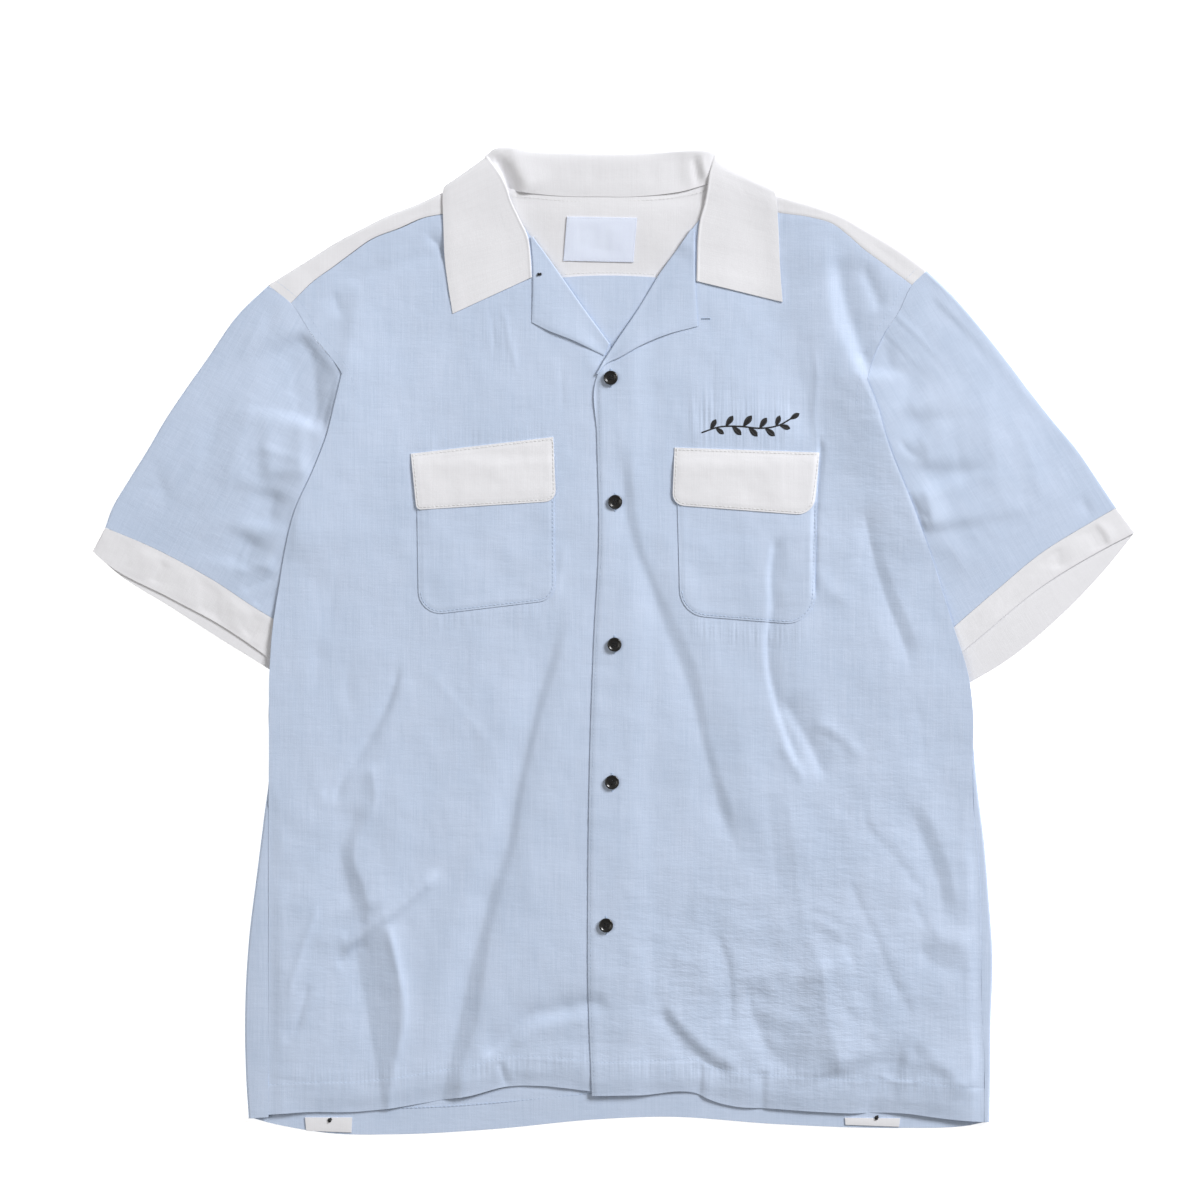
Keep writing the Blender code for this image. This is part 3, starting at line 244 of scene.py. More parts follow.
# Collar sections from the right tip round the neck to the left tip. Each has the point where it is
# sewn to the neck, the crown of its roll, how far the fall has swung round the neck (0 lies behind
# it, 180 lies on the front) and the free edge. A height of None rests on the fronts.
COLLAR = (  # seam x, y, z; roll x, y, z; swing; edge x, y, z
    ((-69.0, 293, None), (-66.5, 292, None), 180, (-129.5, 263, None)),
    ((-70.0, 308, None), (-67.4, 308, None), 180, (-133.5, 288, None)),
    ((-73.0, 324, None), (-69.8, 325, None), 180, (-136, 309, None)),
    ((-81.0, 337, None), (-76.0, 338, None), 180, (-136.6, 323, None)),
    ((-88.5, 347, None), (-83.0, 353, None), 178, (-137, 336, None)),
    ((-89.0, 354, None), (-87.0, 365, 7.9), 170, (-137.4, 347, None)),
    ((-91.5, 362, 6.4), (-95.0, 379, 8.0), 145, (-137.4, 357, 7.6)),
    ((-93.0, 365, 6.2), (-101.0, 387, 7.4), 115, (-136.2, 364, 7.2)),
    ((-92.5, 366, 6.1), (-102.5, 389, 6.8), 90, (-135.2, 365.5, 4.0)),
    ((-90.5, 366, 6.0), (-100.5, 391, 6.3), 65, (-134.0, 365.5, 0.9)),
    ((-87.0, 364.5, 5.9), (-97.0, 394, 5.9), 40, (-126, 352, TABLE_LAYER)),
    ((-79.0, 362, 5.9), (-88.0, 396, 5.6), 15, (-108, 345, TABLE_LAYER)),
    ((-62.0, 359.5, 5.9), (-68.0, 393.5, 5.3), 0, (-78, 340, TABLE_LAYER)),
    ((-40.0, 357.5, 5.9), (-42.0, 391.5, 5.3), 0, (-46, 337, TABLE_LAYER)),
    ((-12.0, 357, 5.9), (-12.0, 391, 5.3), 0, (-12, 336, TABLE_LAYER)),
    ((14.0, 357, 5.9), (14.0, 391, 5.3), 0, (14, 336, TABLE_LAYER)),
    ((37.0, 359, 5.9), (38.0, 392, 5.3), 0, (40, 337, TABLE_LAYER)),
    ((56.0, 362, 5.9), (58.0, 393.5, 5.3), 0, (64, 340, TABLE_LAYER)),
    ((68.0, 365.5, 5.9), (73.0, 393.5, 5.8), 18, (90, 344, TABLE_LAYER)),
    ((75.5, 368, 6.0), (79.0, 392, 5.9), 42, (108, 351, TABLE_LAYER)),
    ((78.0, 369.5, 6.1), (80.5, 390.5, 6.2), 66, (125.0, 363.5, 0.9)),
    ((79.0, 369.5, 6.1), (80.0, 388, 6.6), 90, (126.8, 364, 4.0)),
    ((79.5, 368, 6.2), (78.5, 384, 7.2), 115, (127.6, 362, 7.2)),
    ((79.5, 364.5, 6.4), (76.2, 376, 7.8), 145, (129.2, 355, 7.6)),
    ((78.0, 357, None), (74.4, 363, 7.8), 170, (130.2, 345, None)),
    ((77.0, 349, None), (72.0, 350, None), 178, (131, 334, None)),
    ((72.5, 338, None), (68.6, 338, None), 180, (131.6, 322, None)),
    ((69.6, 322, None), (66.6, 322, None), 180, (132.2, 307, None)),
    ((68.6, 306, None), (66.2, 306, None), 180, (133.2, 290, None)),
    ((68.2, 289.5, None), (65.8, 289, None), 180, (134.6, 272.5, None)),
)

POCKET = {  # corners from upper left, clockwise, each with its rounding
    "right": (((-158.5, 140), 0), ((-48.5, 142), 0), ((-47.6, 34), 14), ((-156.6, 21), 18)),
    "left": (((49.5, 140), 0), ((163, 138), 0), ((159.4, 13.5), 22), ((52.6, 22), 22)),
}
FLAP = {
    "right": (((-163, 151), 0), ((-49, 164.4), 0), ((-46.6, 113), 9), ((-158.5, 106), 4)),
    "left": (((48, 156), 0), ((164, 152), 0), ((159.2, 101.5), 14), ((46, 110), 10)),
}
LABEL = ((-38, 340.6), (18, 339.6), (15, 304.4), (-41, 305.6))
HEM_TAB = {
    "right": ((-248, -380.5), (-210, -380.5), (-210.6, -392.6), (-247, -391.2)),
    "left": ((184.5, -380.8), (229, -381.2), (228, -388), (185, -386.4)),
}
BUTTONS = ((-3, 211.6), (0.4, 112.4), (0, -1.6), (-2, -111.6), (-6.8, -226))

# Finer creases of the fronts. Left and right are the sides of someone who walks along the path.
CREASES = (  # name, rise, left half width, right half width, fade, path (x, y)
    ("long drape, hollow", -1.5, 9, 12, 40,
     ((4, 162), (7, 132), (10, 101), (17, 74), (28, 50), (37, 22), (49, -8), (60, -36), (68, -69),
      (78, -108), (88, -143), (99, -165), (107, -181))),
    ("long drape, crest", 1.2, 14, 8, 40,
     ((13, 160), (16, 116), (22, 80), (33, 49), (45, 25), (58, -2), (68, -27), (72, -51), (80, -90),
      (92, -128), (102, -160))),
    ("pocket drape", -1.5, 5.5, 2.0, 12,
     ((129, 86), (125, 56), (125.5, 27), (122, 4), (122, -8), (124.5, -28), (130, -51), (139, -77),
      (149, -100))),
    ("pocket drape ridge", 0.35, 3, 9, 12,
     ((126, 84), (121, 56), (121.5, 28), (119, 4), (119, -8), (121, -28), (126, -51), (136, -79),
      (144, -94))),
    ("pocket drape, outer side", 0.9, 16, 14, 24,
     ((156, 104), (157, 60), (152, 20), (146, -20), (150, -44))),
    ("pocket edge, outer side", -1.9, 2.2, 0.9, 10,
     ((165.0, 164), (164.0, 146), (161.8, 124), (159.6, 96), (159.4, 66), (159.8, 34))),
    ("beside the pocket", 1.0, 16, 5, 20, ((166, 60), (171, 42), (184, 34), (196, 30))),
    ("waist dent", -2.3, 10, 6, 12, ((133, -44), (145, -63), (154, -78), (163, -96), (170, -110))),
    ("waist ridge", 1.2, 4, 6, 12, ((156, -61), (174, -71), (186, -80), (202, -93))),
    ("waist ridge, under", -1.0, 7, 4, 12, ((160, -70), (176, -79), (190, -88))),
    ("waist small ridge", 1.2, 4, 4, 8, ((131, -78), (141, -94), (153, -112))),
    ("side dent", -1.5, 10, 16, 22, ((230, -124), (244, -150), (255, -178), (262, -204), (266, -224))),
    ("side dent, crest", 1.5, 16, 10, 22,
     ((242, -124), (256, -150), (267, -178), (273, -204), (276, -222))),
    ("side slant", -0.7, 3, 5, 12, ((197, -136), (210, -157), (225, -172), (239, -190), (252, -202))),
    ("lower slant", -0.8, 3.5, 6, 14,
     ((186, -186), (199, -216), (210, -238), (221, -267), (235, -292), (240, -302))),
    ("lower drape", 1.1, 30, 14, 30,
     ((136, -104), (141, -146), (146, -183), (152, -219), (164, -256), (168, -284))),
    ("lower drape, hollow", -0.8, 12, 12, 30, ((122, -110), (126, -160), (134, -212))),
    ("low dent", -1.2, 3.5, 11, 14, ((80, -230), (89, -252), (93, -278), (93, -310))),
    ("low shade, crest", 4.6, 40, 26, 16,
     ((160, -250), (168, -268), (170, -300), (176, -324), (183, -348))),
    ("low shade, hollow", -3.0, 22, 18, 20, ((104, -270), (112, -300), (126, -328), (150, -346))),
    ("corner shade, hollow", -2.6, 28, 7, 14,
     ((248, -320), (234, -334), (218, -350), (205, -370), (198, -394))),
    ("corner shade, crest", 2.8, 14, 26, 10, ((226, -330), (246, -334), (266, -342), (284, -360))),
    ("side patch, crest", 1.8, 12, 9, 12, ((246, -222), (262, -236), (286, -242))),
    ("side patch, hollow", -1.2, 8, 9, 12, ((240, -242), (258, -258), (286, -262))),
    ("hem crease, hollow", -1.3, 4.5, 9, 14,
     ((33, -290), (47, -310), (60, -325), (75, -337), (95, -347))),
    ("hem crease, crest", 1.7, 5, 5, 14, ((40, -289), (55, -307), (69, -321), (84, -332), (102, -341))),
    ("hem upright fold 1", -1.2, 2.5, 8, 8, ((69, -334), (69, -348), (68, -364), (68, -384))),
    ("hem upright fold 2", -1.0, 2.5, 7, 8, ((119, -340), (119, -356), (119, -372), (119, -392))),
    ("crumple 1", -0.7, 3, 3, 9, ((104, -276), (124, -286), (146, -296), (160, -300))),
    ("crumple 2", 0.6, 3, 3, 9, ((108, -292), (130, -300), (156, -303))),
    ("crumple 3", -0.6, 3, 3, 9, ((110, -306), (134, -312), (158, -308))),
    ("crumple 4", 0.6, 3, 3, 9, ((120, -318), (140, -324), (164, -314))),
    ("crumple 5", -0.6, 3, 3, 8, ((150, -214), (166, -218), (184, -230))),
    ("crumple 6", 0.5, 3, 3, 8, ((156, -222), (172, -228), (186, -240))),
    ("crumple 7", -0.5, 3, 3, 8, ((170, -232), (186, -246), (194, -262))),
    ("crumple 8", -0.6, 3, 3, 8, ((238, -204), (246, -222), (258, -236))),
    ("crumple 9", 0.6, 3, 3, 8, ((208, -344), (226, -352), (250, -350))),
    ("crumple 10", -0.6, 3, 3, 8, ((246, -340), (262, -346), (284, -346))),
    ("crumple 11", 0.5, 3, 3, 8, ((196, -306), (216, -318), (236, -318))),
    ("crumple 12", -0.5, 3, 3, 8, ((180, -290), (196, -302), (216, -304))),
    ("crumple 13", 0.5, 3, 3, 8, ((60, -196), (86, -204), (112, -204))),
    ("crumple 14", -0.4, 4, 3, 10, ((24, -236), (50, -246), (78, -246))),
    ("body fold crest, left", 1.5, 7, 20, 40,
     ((167, 336), (169, 312), (170, 291), (173, 266), (187, 231), (202, 200), (222, 146), (238, 104),
      (252, 60))),
    ("shoulder valley, left", -3.0, 14, 9, 18,
     ((178, 312), (182, 284), (189, 258), (196, 236), (202, 212))),
    ("shoulder crease 1, left", -1.7, 6, 5, 12, ((196, 304), (206, 284), (214, 262))),
    ("shoulder crease 2, left", -1.7, 6, 4, 9, ((196, 236), (202, 224), (205, 212))),
    ("chest shade, left", -0.5, 24, 14, 40, ((138, 330), (138, 280), (144, 230), (156, 186), (166, 150))),
    ("chest line, left", 0.5, 4, 3, 20, ((160, 240), (162, 210), (160, 180), (164, 150))),
    ("under the buttonhole", -0.3, 2.5, 2.5, 14, ((79, 228), (78, 206), (81, 184))),
    ("side drape, left", -1.7, 10, 9, 22, ((198, 112), (208, 66), (217, 36), (229, 6), (238, -22))),
    ("side drape crest, left", 0.8, 10, 8, 22, ((212, 80), (224, 44), (236, 16), (246, -12))),
    ("side soft 1, left", -0.9, 12, 12, 26, ((240, -40), (246, -72), (248, -108))),
    ("long drape hollow, right", -2.3, 11, 24, 40,
     ((-40, 24), (-54, -22), (-63, -53), (-70, -85), (-77, -113), (-81, -135), (-84, -157), (-90, -176),
      (-100, -202), (-107, -232), (-115, -259), (-122, -292), (-127, -315), (-133, -341), (-138, -366),
      (-146, -410))),
    ("long drape crest, right", 2.1, 20, 10, 40,
     ((-34, 24), (-47, -22), (-57, -53), (-64, -82), (-71, -113), (-75, -135), (-77, -155), (-83, -176),
      (-90, -199), (-98, -229), (-103, -262), (-107, -292), (-111, -311), (-120, -334), (-124, -366),
      (-132, -410))),
    ("pocket corner drape, right", 0.7, 4, 7, 20, ((-36, 86), (-42, 60), (-50, 24))),
    ("waist drape, right", -1.6, 4, 6, 16,
     ((-171, -16), (-178, -40), (-186, -59), (-198, -80), (-207, -95), (-217, -110), (-226, -132))),
    ("waist drape crest, right", 0.8, 8, 4, 16, ((-167, -20), (-174, -42), (-182, -62), (-194, -82))),
    ("side drape crest, right", 2.0, 14, 10, 9,
     ((-197, -96), (-192.5, -112), (-192.5, -129), (-198, -141), (-205, -153), (-209, -172), (-200, -195),
      (-195, -217))),
    ("side drape hollow, right", -1.7, 11, 20, 16,
     ((-206, -128), (-212, -150), (-219, -165), (-214, -191), (-208, -217))),
    ("low side drape hollow, right", -1.7, 12, 22, 16,
     ((-208, -232), (-205, -262), (-199, -289), (-195, -315), (-191, -337), (-187, -362), (-184, -400))),
    ("low side drape crest, right", 2.0, 7, 12, 14,
     ((-184, -220), (-178, -244), (-173, -266), (-171, -289), (-172, -313), (-177, -342), (-181, -371),
      (-180, -400))),
    ("low side ridge, right", 0.9, 3, 3, 12,
     ((-180, -227), (-176, -247), (-171, -270), (-168, -289), (-169, -311), (-175, -334))),
    ("cross ridge, right", 3.0, 4.5, 4, 16,
     ((-138, -182), (-158, -199), (-176, -214), (-195, -227), (-207, -236), (-220, -252))),
    ("cross ridge shade, upper right", -1.4, 3, 5, 8, ((-196, -221), (-206, -229), (-217, -240))),
    ("cross ridge shade, lower right", -1.2, 6, 4, 8, ((-196, -238), (-210, -248), (-224, -260))),
    ("hem cross crease, right", -2.3, 4, 8, 14,
     ((-2, -288), (-19, -290), (-49, -296), (-68, -300), (-83, -315), (-98, -326), (-107, -333))),
    ("hem cross crest, right", 1.3, 5, 6, 14, ((-18, -302), (-46, -306), (-66, -312), (-84, -326))),
    ("hem tuck, right", -0.8, 4, 2.5, 6, ((-94, -334), (-90, -344), (-86, -357))),
    ("hem tuck crest, right", 0.4, 3, 5, 6, ((-88, -332), (-84, -342), (-81, -356))),
    ("side slant 1, right", 0.9, 3, 3, 14, ((-236, -208), (-248, -240), (-255, -262), (-263, -287))),
    ("side slant 2, right", -1.1, 3, 4, 9, ((-244, -272), (-250, -292), (-256, -310), (-267, -320))),
    ("side slant 3, right", -0.7, 6, 7, 20, ((-222, -156), (-244, -178), (-268, -206))),
    ("side crinkle, right", -0.8, 3, 3, 8, ((-220, -112), (-228, -116), (-232, -128))),
    ("belly slant, right", 0.35, 3, 4, 20, ((-150, -20), (-122, -54), (-94, -88))),
    ("shoulder crease 1, right", -0.9, 5, 6, 12,
     ((-214, 284), (-200, 294), (-180, 302), (-160, 307), (-140, 313))),
    ("leaf side dent, right", -1.4, 5, 6, 7, ((-152, 326), (-144, 321), (-137, 313), (-132, 306))),
    ("shoulder dent, right", -1.5, 11, 8, 12, ((-225, 284), (-222, 270), (-217, 256))),
    ("body fold crest, right", 1.8, 28, 8, 34,
     ((-199, 290), (-208, 266), (-214, 230), (-226, 182), (-242, 143), (-252, 104), (-258, 60))),
    ("side soft 1, right", -0.8, 10, 12, 26, ((-222, 62), (-226, 36), (-230, 6))),
    ("side soft 2, right", -0.7, 9, 10, 26, ((-236, 12), (-238, -20), (-236, -48))),
    ("side soft 3, right", -0.8, 10, 9, 26, ((-210, -12), (-214, -36), (-208, -64))),
    ("lapel line 1, right", -0.35, 2.5, 2.5, 14, ((-99, 270), (-97, 250), (-94, 228))),
    ("lapel line 2, right", 0.35, 2.5, 2.5, 14, ((-90, 272), (-85, 246), (-77, 212))),
    ("lapel line 3, right", -0.3, 2.5, 2.5, 14, ((-42, 226), (-42, 204), (-40, 182))),
)

# Broad, round swells and hollows of the fronts.
SWELLS = (  # name, rise, left half width, right half width, fade, path (x, y)
    ("hem shade, left", 0.9, 12, 16, 30, ((-8, -300), (20, -306), (44, -318))),
    ("side hollow, left", -0.9, 16, 20, 50, ((258, -40), (262, -110), (268, -190), (274, -260))),
    ("belly swell, left", 0.9, 26, 30, 60, ((96, 10), (104, -90), (110, -170))),
    ("low side rise, left", 1.6, 40, 120, 80, ((290, -120), (292, -240), (294, -330), (296, -440))),
    ("belly hollow, left", -0.8, 22, 24, 60, ((196, 20), (190, -50), (176, -120), (170, -180))),
    ("low swell, right", 0.8, 24, 26, 60, ((-50, -150), (-62, -230), (-76, -300))),
    ("side swell, right", 0.7, 18, 20, 50, ((-246, 40), (-250, -40), (-246, -120))),
    ("side rise, right", 1.0, 50, 30, 60, ((-284, -90), (-284, -200), (-284, -400))),
)

# Gathers along a seam: rise, wave length, how far they reach, and the seam that they follow.
PUCKERS = (  # name, rise, wave, reach, path (x, y)
    ("left pocket, outer side", 0.24, 7.0, 9, ((166, 130), (163, 80), (162, 26))),
    ("right pocket, outer side", 0.2, 7.0, 9, ((-162, 130), (-161, 80), (-160, 32))),
    ("right pocket, inner side", 0.2, 7.0, 9, ((-44, 134), (-44, 90), (-44, 44))),
    ("button edge", 0.2, 9.0, 12, ((-15, 200), (-15, 0), (-18, -200), (-18, -350))),
    ("right side seam", 0.16, 8.0, 14, ((-266, -140), (-266, -250), (-266, -370))),
    ("left side seam", 0.2, 8.0, 14, ((280, -140), (283, -250), (285, -370))),
    ("right armhole", 0.3, 8.0, 12, ((-252, 262), (-230, 226), (-215, 196), (-214, 160))),
    ("left armhole", 0.3, 8.0, 12, ((232, 270), (212, 232), (202, 200), (204, 160))),
)

# Seams that gather the cloth beside them into fine upright lines.
GATHERS = (  # amount, reach, path (x, y)
    (0.9, 19, ((56, 176), (100, 178), (150, 176))),
    (0.6, 9, ((58, 14), (110, 6), (158, 8))),
    (0.35, 8, ((-150, 16), (-100, 22), (-50, 30))),
    (0.3, 10, ((-160, 158), (-100, 164), (-50, 170))),
    (0.45, 9, ((-260, -352), (-150, -344), (-10, -332))),
    (0.45, 9, ((-10, -338), (110, -346), (280, -354))),
    (0.2, 14, ((74, 236), (92, 214), (104, 196))),
    (0.25, 20, ((-70, 246), (-92, 244), (-110, 240))),
)

# Creases of the sleeves, which are tubes pressed flat.
SLEEVE_CREASES = (  # name, rise, left half width, right half width, fade, path (x, y)
    ("armhole dent, right", -5.6, 17, 34, 14,
     ((-256, 250), (-248, 228), (-243, 206), (-240, 184), (-244, 168))),
    ("side dent 1, right", 2.4, 36, 7, 12, ((-286, 136), (-266, 137), (-240, 138))),
    ("side dent 2, right", -3.2, 14, 24, 12, ((-270, 124), (-274, 108), (-277, 88))),
    ("side dent 3, right", -3.2, 13, 24, 12, ((-286, 88), (-293, 72), (-297, 56))),
    ("underarm stroke, right", 1.8, 20, 4.5, 9, ((-304, 70), (-288, 63), (-270, 57))),
    ("underarm fan 1, right", -1.0, 4, 4, 9, ((-300, 40), (-284, 48), (-268, 54))),
    ("underarm fan 2, right", -0.9, 4, 4, 9, ((-292, 28), (-278, 36), (-264, 44))),
    ("underarm fan 3, right", 0.9, 4, 5, 9, ((-306, 56), (-288, 60), (-270, 66))),
    ("armhole fan 1, right", -0.7, 3, 3, 8, ((-262, 206), (-250, 200), (-238, 190))),
    ("armhole fan 2, right", -0.7, 3, 3, 8, ((-258, 190), (-247, 184), (-237, 176))),
    ("armhole fan 3, right", 0.7, 3, 3, 8, ((-286, 158), (-266, 150), (-246, 146))),
    ("top fan 1, right", -1.0, 4, 5, 12, ((-270, 272), (-275, 258), (-281, 244))),
    ("top fan 2, right", 0.8, 3, 4, 12, ((-280, 262), (-290, 244), (-300, 226))),
    ("middle drape, right", 1.6, 16, 18, 40, ((-284, 220), (-300, 160), (-318, 110))),
    ("middle trough, right", -1.4, 16, 14, 40, ((-300, 210), (-320, 170), (-334, 120))),
    ("outer slant, right", -0.8, 4, 6, 20, ((-372, 152), (-364, 130), (-356, 108))),
    ("cuff slant 1, right", -0.9, 6, 6, 20, ((-392, 119), (-372, 124), (-346, 120))),
    ("top line, left", -1.3, 4, 9, 18,
     ((248, 280), (268, 260), (289, 241), (306, 226), (327, 200), (350, 172))),
    ("top crest, left", 0.9, 8, 4, 18, ((254, 284), (274, 263), (295, 243), (312, 226), (333, 200))),
    ("armhole crease, left", -1.0, 5, 5, 10, ((218, 240), (219, 228), (223, 216))),
    ("side crest 1, left", 2.3, 40, 9, 12, ((234, 198), (240, 188), (242, 176))),
    ("side crest 2, left", 3.2, 50, 12, 14, ((240, 170), (250, 154), (252, 134))),
    ("side crest 3, left", 3.8, 52, 11, 12, ((246, 128), (252, 108), (256, 86))),
    ("side fan 1, left", -0.8, 3, 3, 8, ((226, 164), (236, 152), (248, 146))),
    ("side fan 2, left", -0.8, 3, 3, 8, ((236, 116), (243, 104), (254, 98))),
    ("low crest, left", 1.0, 14, 12, 16, ((266, 84), (276, 66), (284, 50))),
    ("middle drape, left", 1.2, 18, 20, 40, ((290, 216), (302, 160), (312, 112))),
    ("middle trough, left", -1.0, 16, 14, 36, ((268, 190), (276, 144), (284, 104))),
    ("cuff tuck, left", -1.3, 4, 6, 9, ((372, 118), (380, 104), (384, 92))),
    ("outer slant, left", 0.8, 8, 8, 26, ((320, 176), (336, 140), (344, 100))),
)

CUFF_CREASES = (  # name, rise, left half width, right half width, fade, path (x, y)
    ("tuck, left", -2.0, 3, 7, 4, ((374, 100), (384, 91), (390, 83), (392, 74))),
    ("tuck crest, left", 0.9, 5, 3, 4, ((380, 102), (390, 92), (396, 84), (398, 76))),
    ("dent, left", -0.6, 5, 5, 5, ((352, 76), (356, 66), (356, 58))),
    ("outer dent, right", -0.8, 6, 5, 5, ((-360, 66), (-366, 56), (-370, 46))),
    ("inner dent, right", -0.9, 6, 6, 5, ((-276, 22), (-286, 14), (-298, 6))),
    ("inner line, right", 0.5, 3, 3, 5, ((-272, 10), (-284, 0), (-292, -4))),
)

# Dents of the collar's stand beside the neck, where it swings from lying to standing.
COLLAR_CREASES = (  # name, rise, left half width, right half width, fade, path (x, y)
    ("right corner dent", -3.2, 8, 3, 5, ((-96, 387), (-90, 377), (-85.5, 366), (-83, 357))),
    ("right corner crest", 2.2, 14, 8, 5, ((-84, 391), (-79, 381), (-73, 370), (-67, 359))),
    ("left corner dent", -1.8, 5, 3, 5, ((63, 390), (65, 378), (67, 366))),
    ("left corner crest", 1.2, 3, 4, 5, ((70, 390), (71, 380), (74, 370))),
    ("left corner shade", -1.3, 12, 22, 6, ((50, 394), (51, 378), (53, 362))),
    ("back line 1", -0.4, 3, 3, 6, ((-18, 388), (-17, 376), (-17, 364))),
    ("back line 2", -0.4, 3, 4, 6, ((30, 388), (30, 376), (32, 366))),
    ("back line 3", 0.4, 5, 4, 6, ((-44, 388), (-42, 376), (-42, 364))),
)

# Soft hollows of the yoke beside the collar's leaves.
YOKE_CREASES = (  # name, rise, left half width, right half width, fade, path (x, y)
    ("neck shade, left", -1.2, 14, 34, 26, ((68, 384), (60, 350), (50, 328), (44, 312))),
    ("neck shade, right", -1.0, 24, 12, 26, ((-88, 384), (-80, 350), (-68, 328), (-60, 312))),
)

# Where the fronts are crumpled: middle x, y, reach x, y, amount.
RUMPLES = (
    (150, -290, 110, 75, 0.9),
    (190, -150, 80, 90, 0.45),
    (60, -250, 70, 70, 0.4),
    (210, 120, 40, 90, 0.35),
    (-230, -250, 50, 90, 0.25),
    (-60, -330, 70, 30, 0.3),
)

# ---------------------------------------------------------------- seams, hems and slight waves

HEM_RISE = {"right": 24.0, "left": 27.0}  # how far up the hem is stitched
HEM_STEP = 0.2  # extra height of the turned-up hem
HEM_STITCH = (0.12, 0.9)  # depth and half width of its stitched groove
HEM_DROP = 1.4  # how far the hem's outer corners come down to the table
CREASE_ROUND = 0.8  # half width of the round top of a pressed crease
CREASE_REACH = 3.0  # how many half widths a crease reaches
DITCH_DEPTH = 0.3
DITCH_WIDTH = 1.3
PLACKET_DITCH = (0.8, 2.2)  # depth and half width
PUCKER_FADE = 12.0
GATHER_FADE = 10.0
GATHER_REACH = 2.5  # how many reaches a gather is worked out for
RIPPLE_PACE = 1.9  # noise waves for each pucker
RIPPLE_ROW = 7.3  # keeps the noise of one seam apart from the next
RUMPLE_BASE = 0.3  # how crumpled cloth is that lies well

# Slight waves that laid cloth keeps everywhere, as layers of noise.
WAVES = {  # height, size, layer
    "front": ((0.34, 60, 0.0), (0.2, 20, 3.0), (0.07, 9, 6.0)),
    "crumpled": ((0.75, 34, 21.0), (0.45, 15, 24.0)),
    "back": ((0.5, 50, 2.0),),
    "yoke": ((0.35, 40, 9.0),),
    "sleeve": ((0.442, 60, 11.0), (0.26, 20, 14.0), (0.091, 9, 17.0)),
    "cuff": ((0.5, 24, 5.0),),
    "lapel": ((0.25, 22, 8.0),),
    "collar": ((0.25, 30, 6.0),),
    "patch": ((0.3, 26, 4.0),),
}

# Where one shape eases into the next, in millimetres or as a share of the way.
BLENDS = {  # what blends: start, end
    "off the overlap, x": (11, 34),
    "off the overlap, y": (225, 290),
    "creases beside the side seam": (0.5, 12),
    "creases above the side seam, y": (-142, -108),
    "hem stitches, up": (-1, 1.5),
    "hem corner, up": (0, 14),
    "hem corner, out": (-40, -12),
    "patch edge": (0, 3.5),
    "patch waves": (2, 12),
    "off the pocket, y": (141, 152),
    "wrap flattens, up": (28, 44),
    "wrap narrows, up": (2, 30),
    "wrap tail grows, up": (8, 24),
    "back waves, up": (2, 30),
    "off the fall, x": (136, 152),
    "onto the fall, y": (318, 334),
    "neck rise, x": (88, 112),
    "neck rise, y": (290, 350),
    "yoke waves, y": (296, 306),
    "yoke turn to front": (0, 0.5),
    "down from the armhole": (0, 0.35),
    "belly to the underarm": (0.93, 0.99),
    "loose after the armhole": (0, 0.05),
    "tight at the cuff": (0.95, 1),
    "sleeve waves end": (0.8, 1),
    "down to the cuff": (0.55, 1),
    "sleeve clear of the front": (12, 46),
    "sleeve creases beside the front": (0, 5),
    "above the armhole corner": (-4, 16),
    "sleeve under the front": (-9, 1),
    "sleeve off the front": (3, 48),
    "sleeve beside the front, y": (34, 62),
    "sleeve from its fold": (5, 15),
    "cuff opens": (0.2, 1),
    "cuff waves start": (0.05, 0.3),
    "cuff waves end": (0.8, 1),
    "lapel lifts": (0.02, 0.2),
    "lapel lies again": (0.4, 0.66),
    "lapel lifts outwards": (0.35, 1),
    "lapel edge": (0.9, 1),
    "collar roll presses": (0, 175),
    "roll flattens": (150, 178),
    "behind the neck, y": (352, 360),
    "stand to roll": (0, 6),
    "fall lies on the fronts, z": (4, 5),
}

# ---------------------------------------------------------------- how finely the shells are divided

FRONT_COLUMNS = 214
FRONT_ROWS = 196
BACK_COLUMNS = 110
BACK_ROWS = 150
STRIP_COLUMNS = 46
NECK_COLUMNS = 50
YOKE_ROWS = 50
SLEEVE_ROWS = 70
SLEEVE_COLUMNS = 10
CUFF_ROWS = 18
CUFF_COLUMNS = 90
LAPEL_ROWS = 70
LAPEL_COLUMNS = 30
STRIP_ROWS = 12
PATH_PIECES = 6
PATCH_LEAST_ROWS = 12
ROLL_POINTS = 5
FALL_PLACES = (0.03, 0.08, 0.18, 0.36, 0.6, 0.8, 1.0)
TURN_STEPS = 8
COLLAR_ROWS = 6
COLLAR_COLUMNS = 4
STAND_POINTS = 8
PATCH_COLUMNS = 56
HEM_PLACES = (0, 2.5, 5, 7.5, 10, 12.5, 15, 17, 19, 20.2, 21.2, 22.1, 22.9, 23.6, 24.3, 25, 25.7, 26.4, 27.1,
              27.8, 28.6, 29.6, 31)
BORDER = 0.25
SLEEVE_SLANT = {"right": -28.0, "left": 31.0}

# How far round the neck a collar section has swung, in degrees, where its form changes.
LEAF_SWING = 150  # from here on its roll points away from its own edge
LYING_SWING = 165  # from here on its fall lies on the front
HANGING_SWING = 60  # up to here its fall hangs straight down behind the neck

# A stand's middle point, as a share of the way up, and that of a stand shorter than this.
HALF_WAY = 0.5
SHORT_HALF_WAY = 0.4
SHORT_STAND = 8.0

# ---------------------------------------------------------------- buttons, threads and stitches

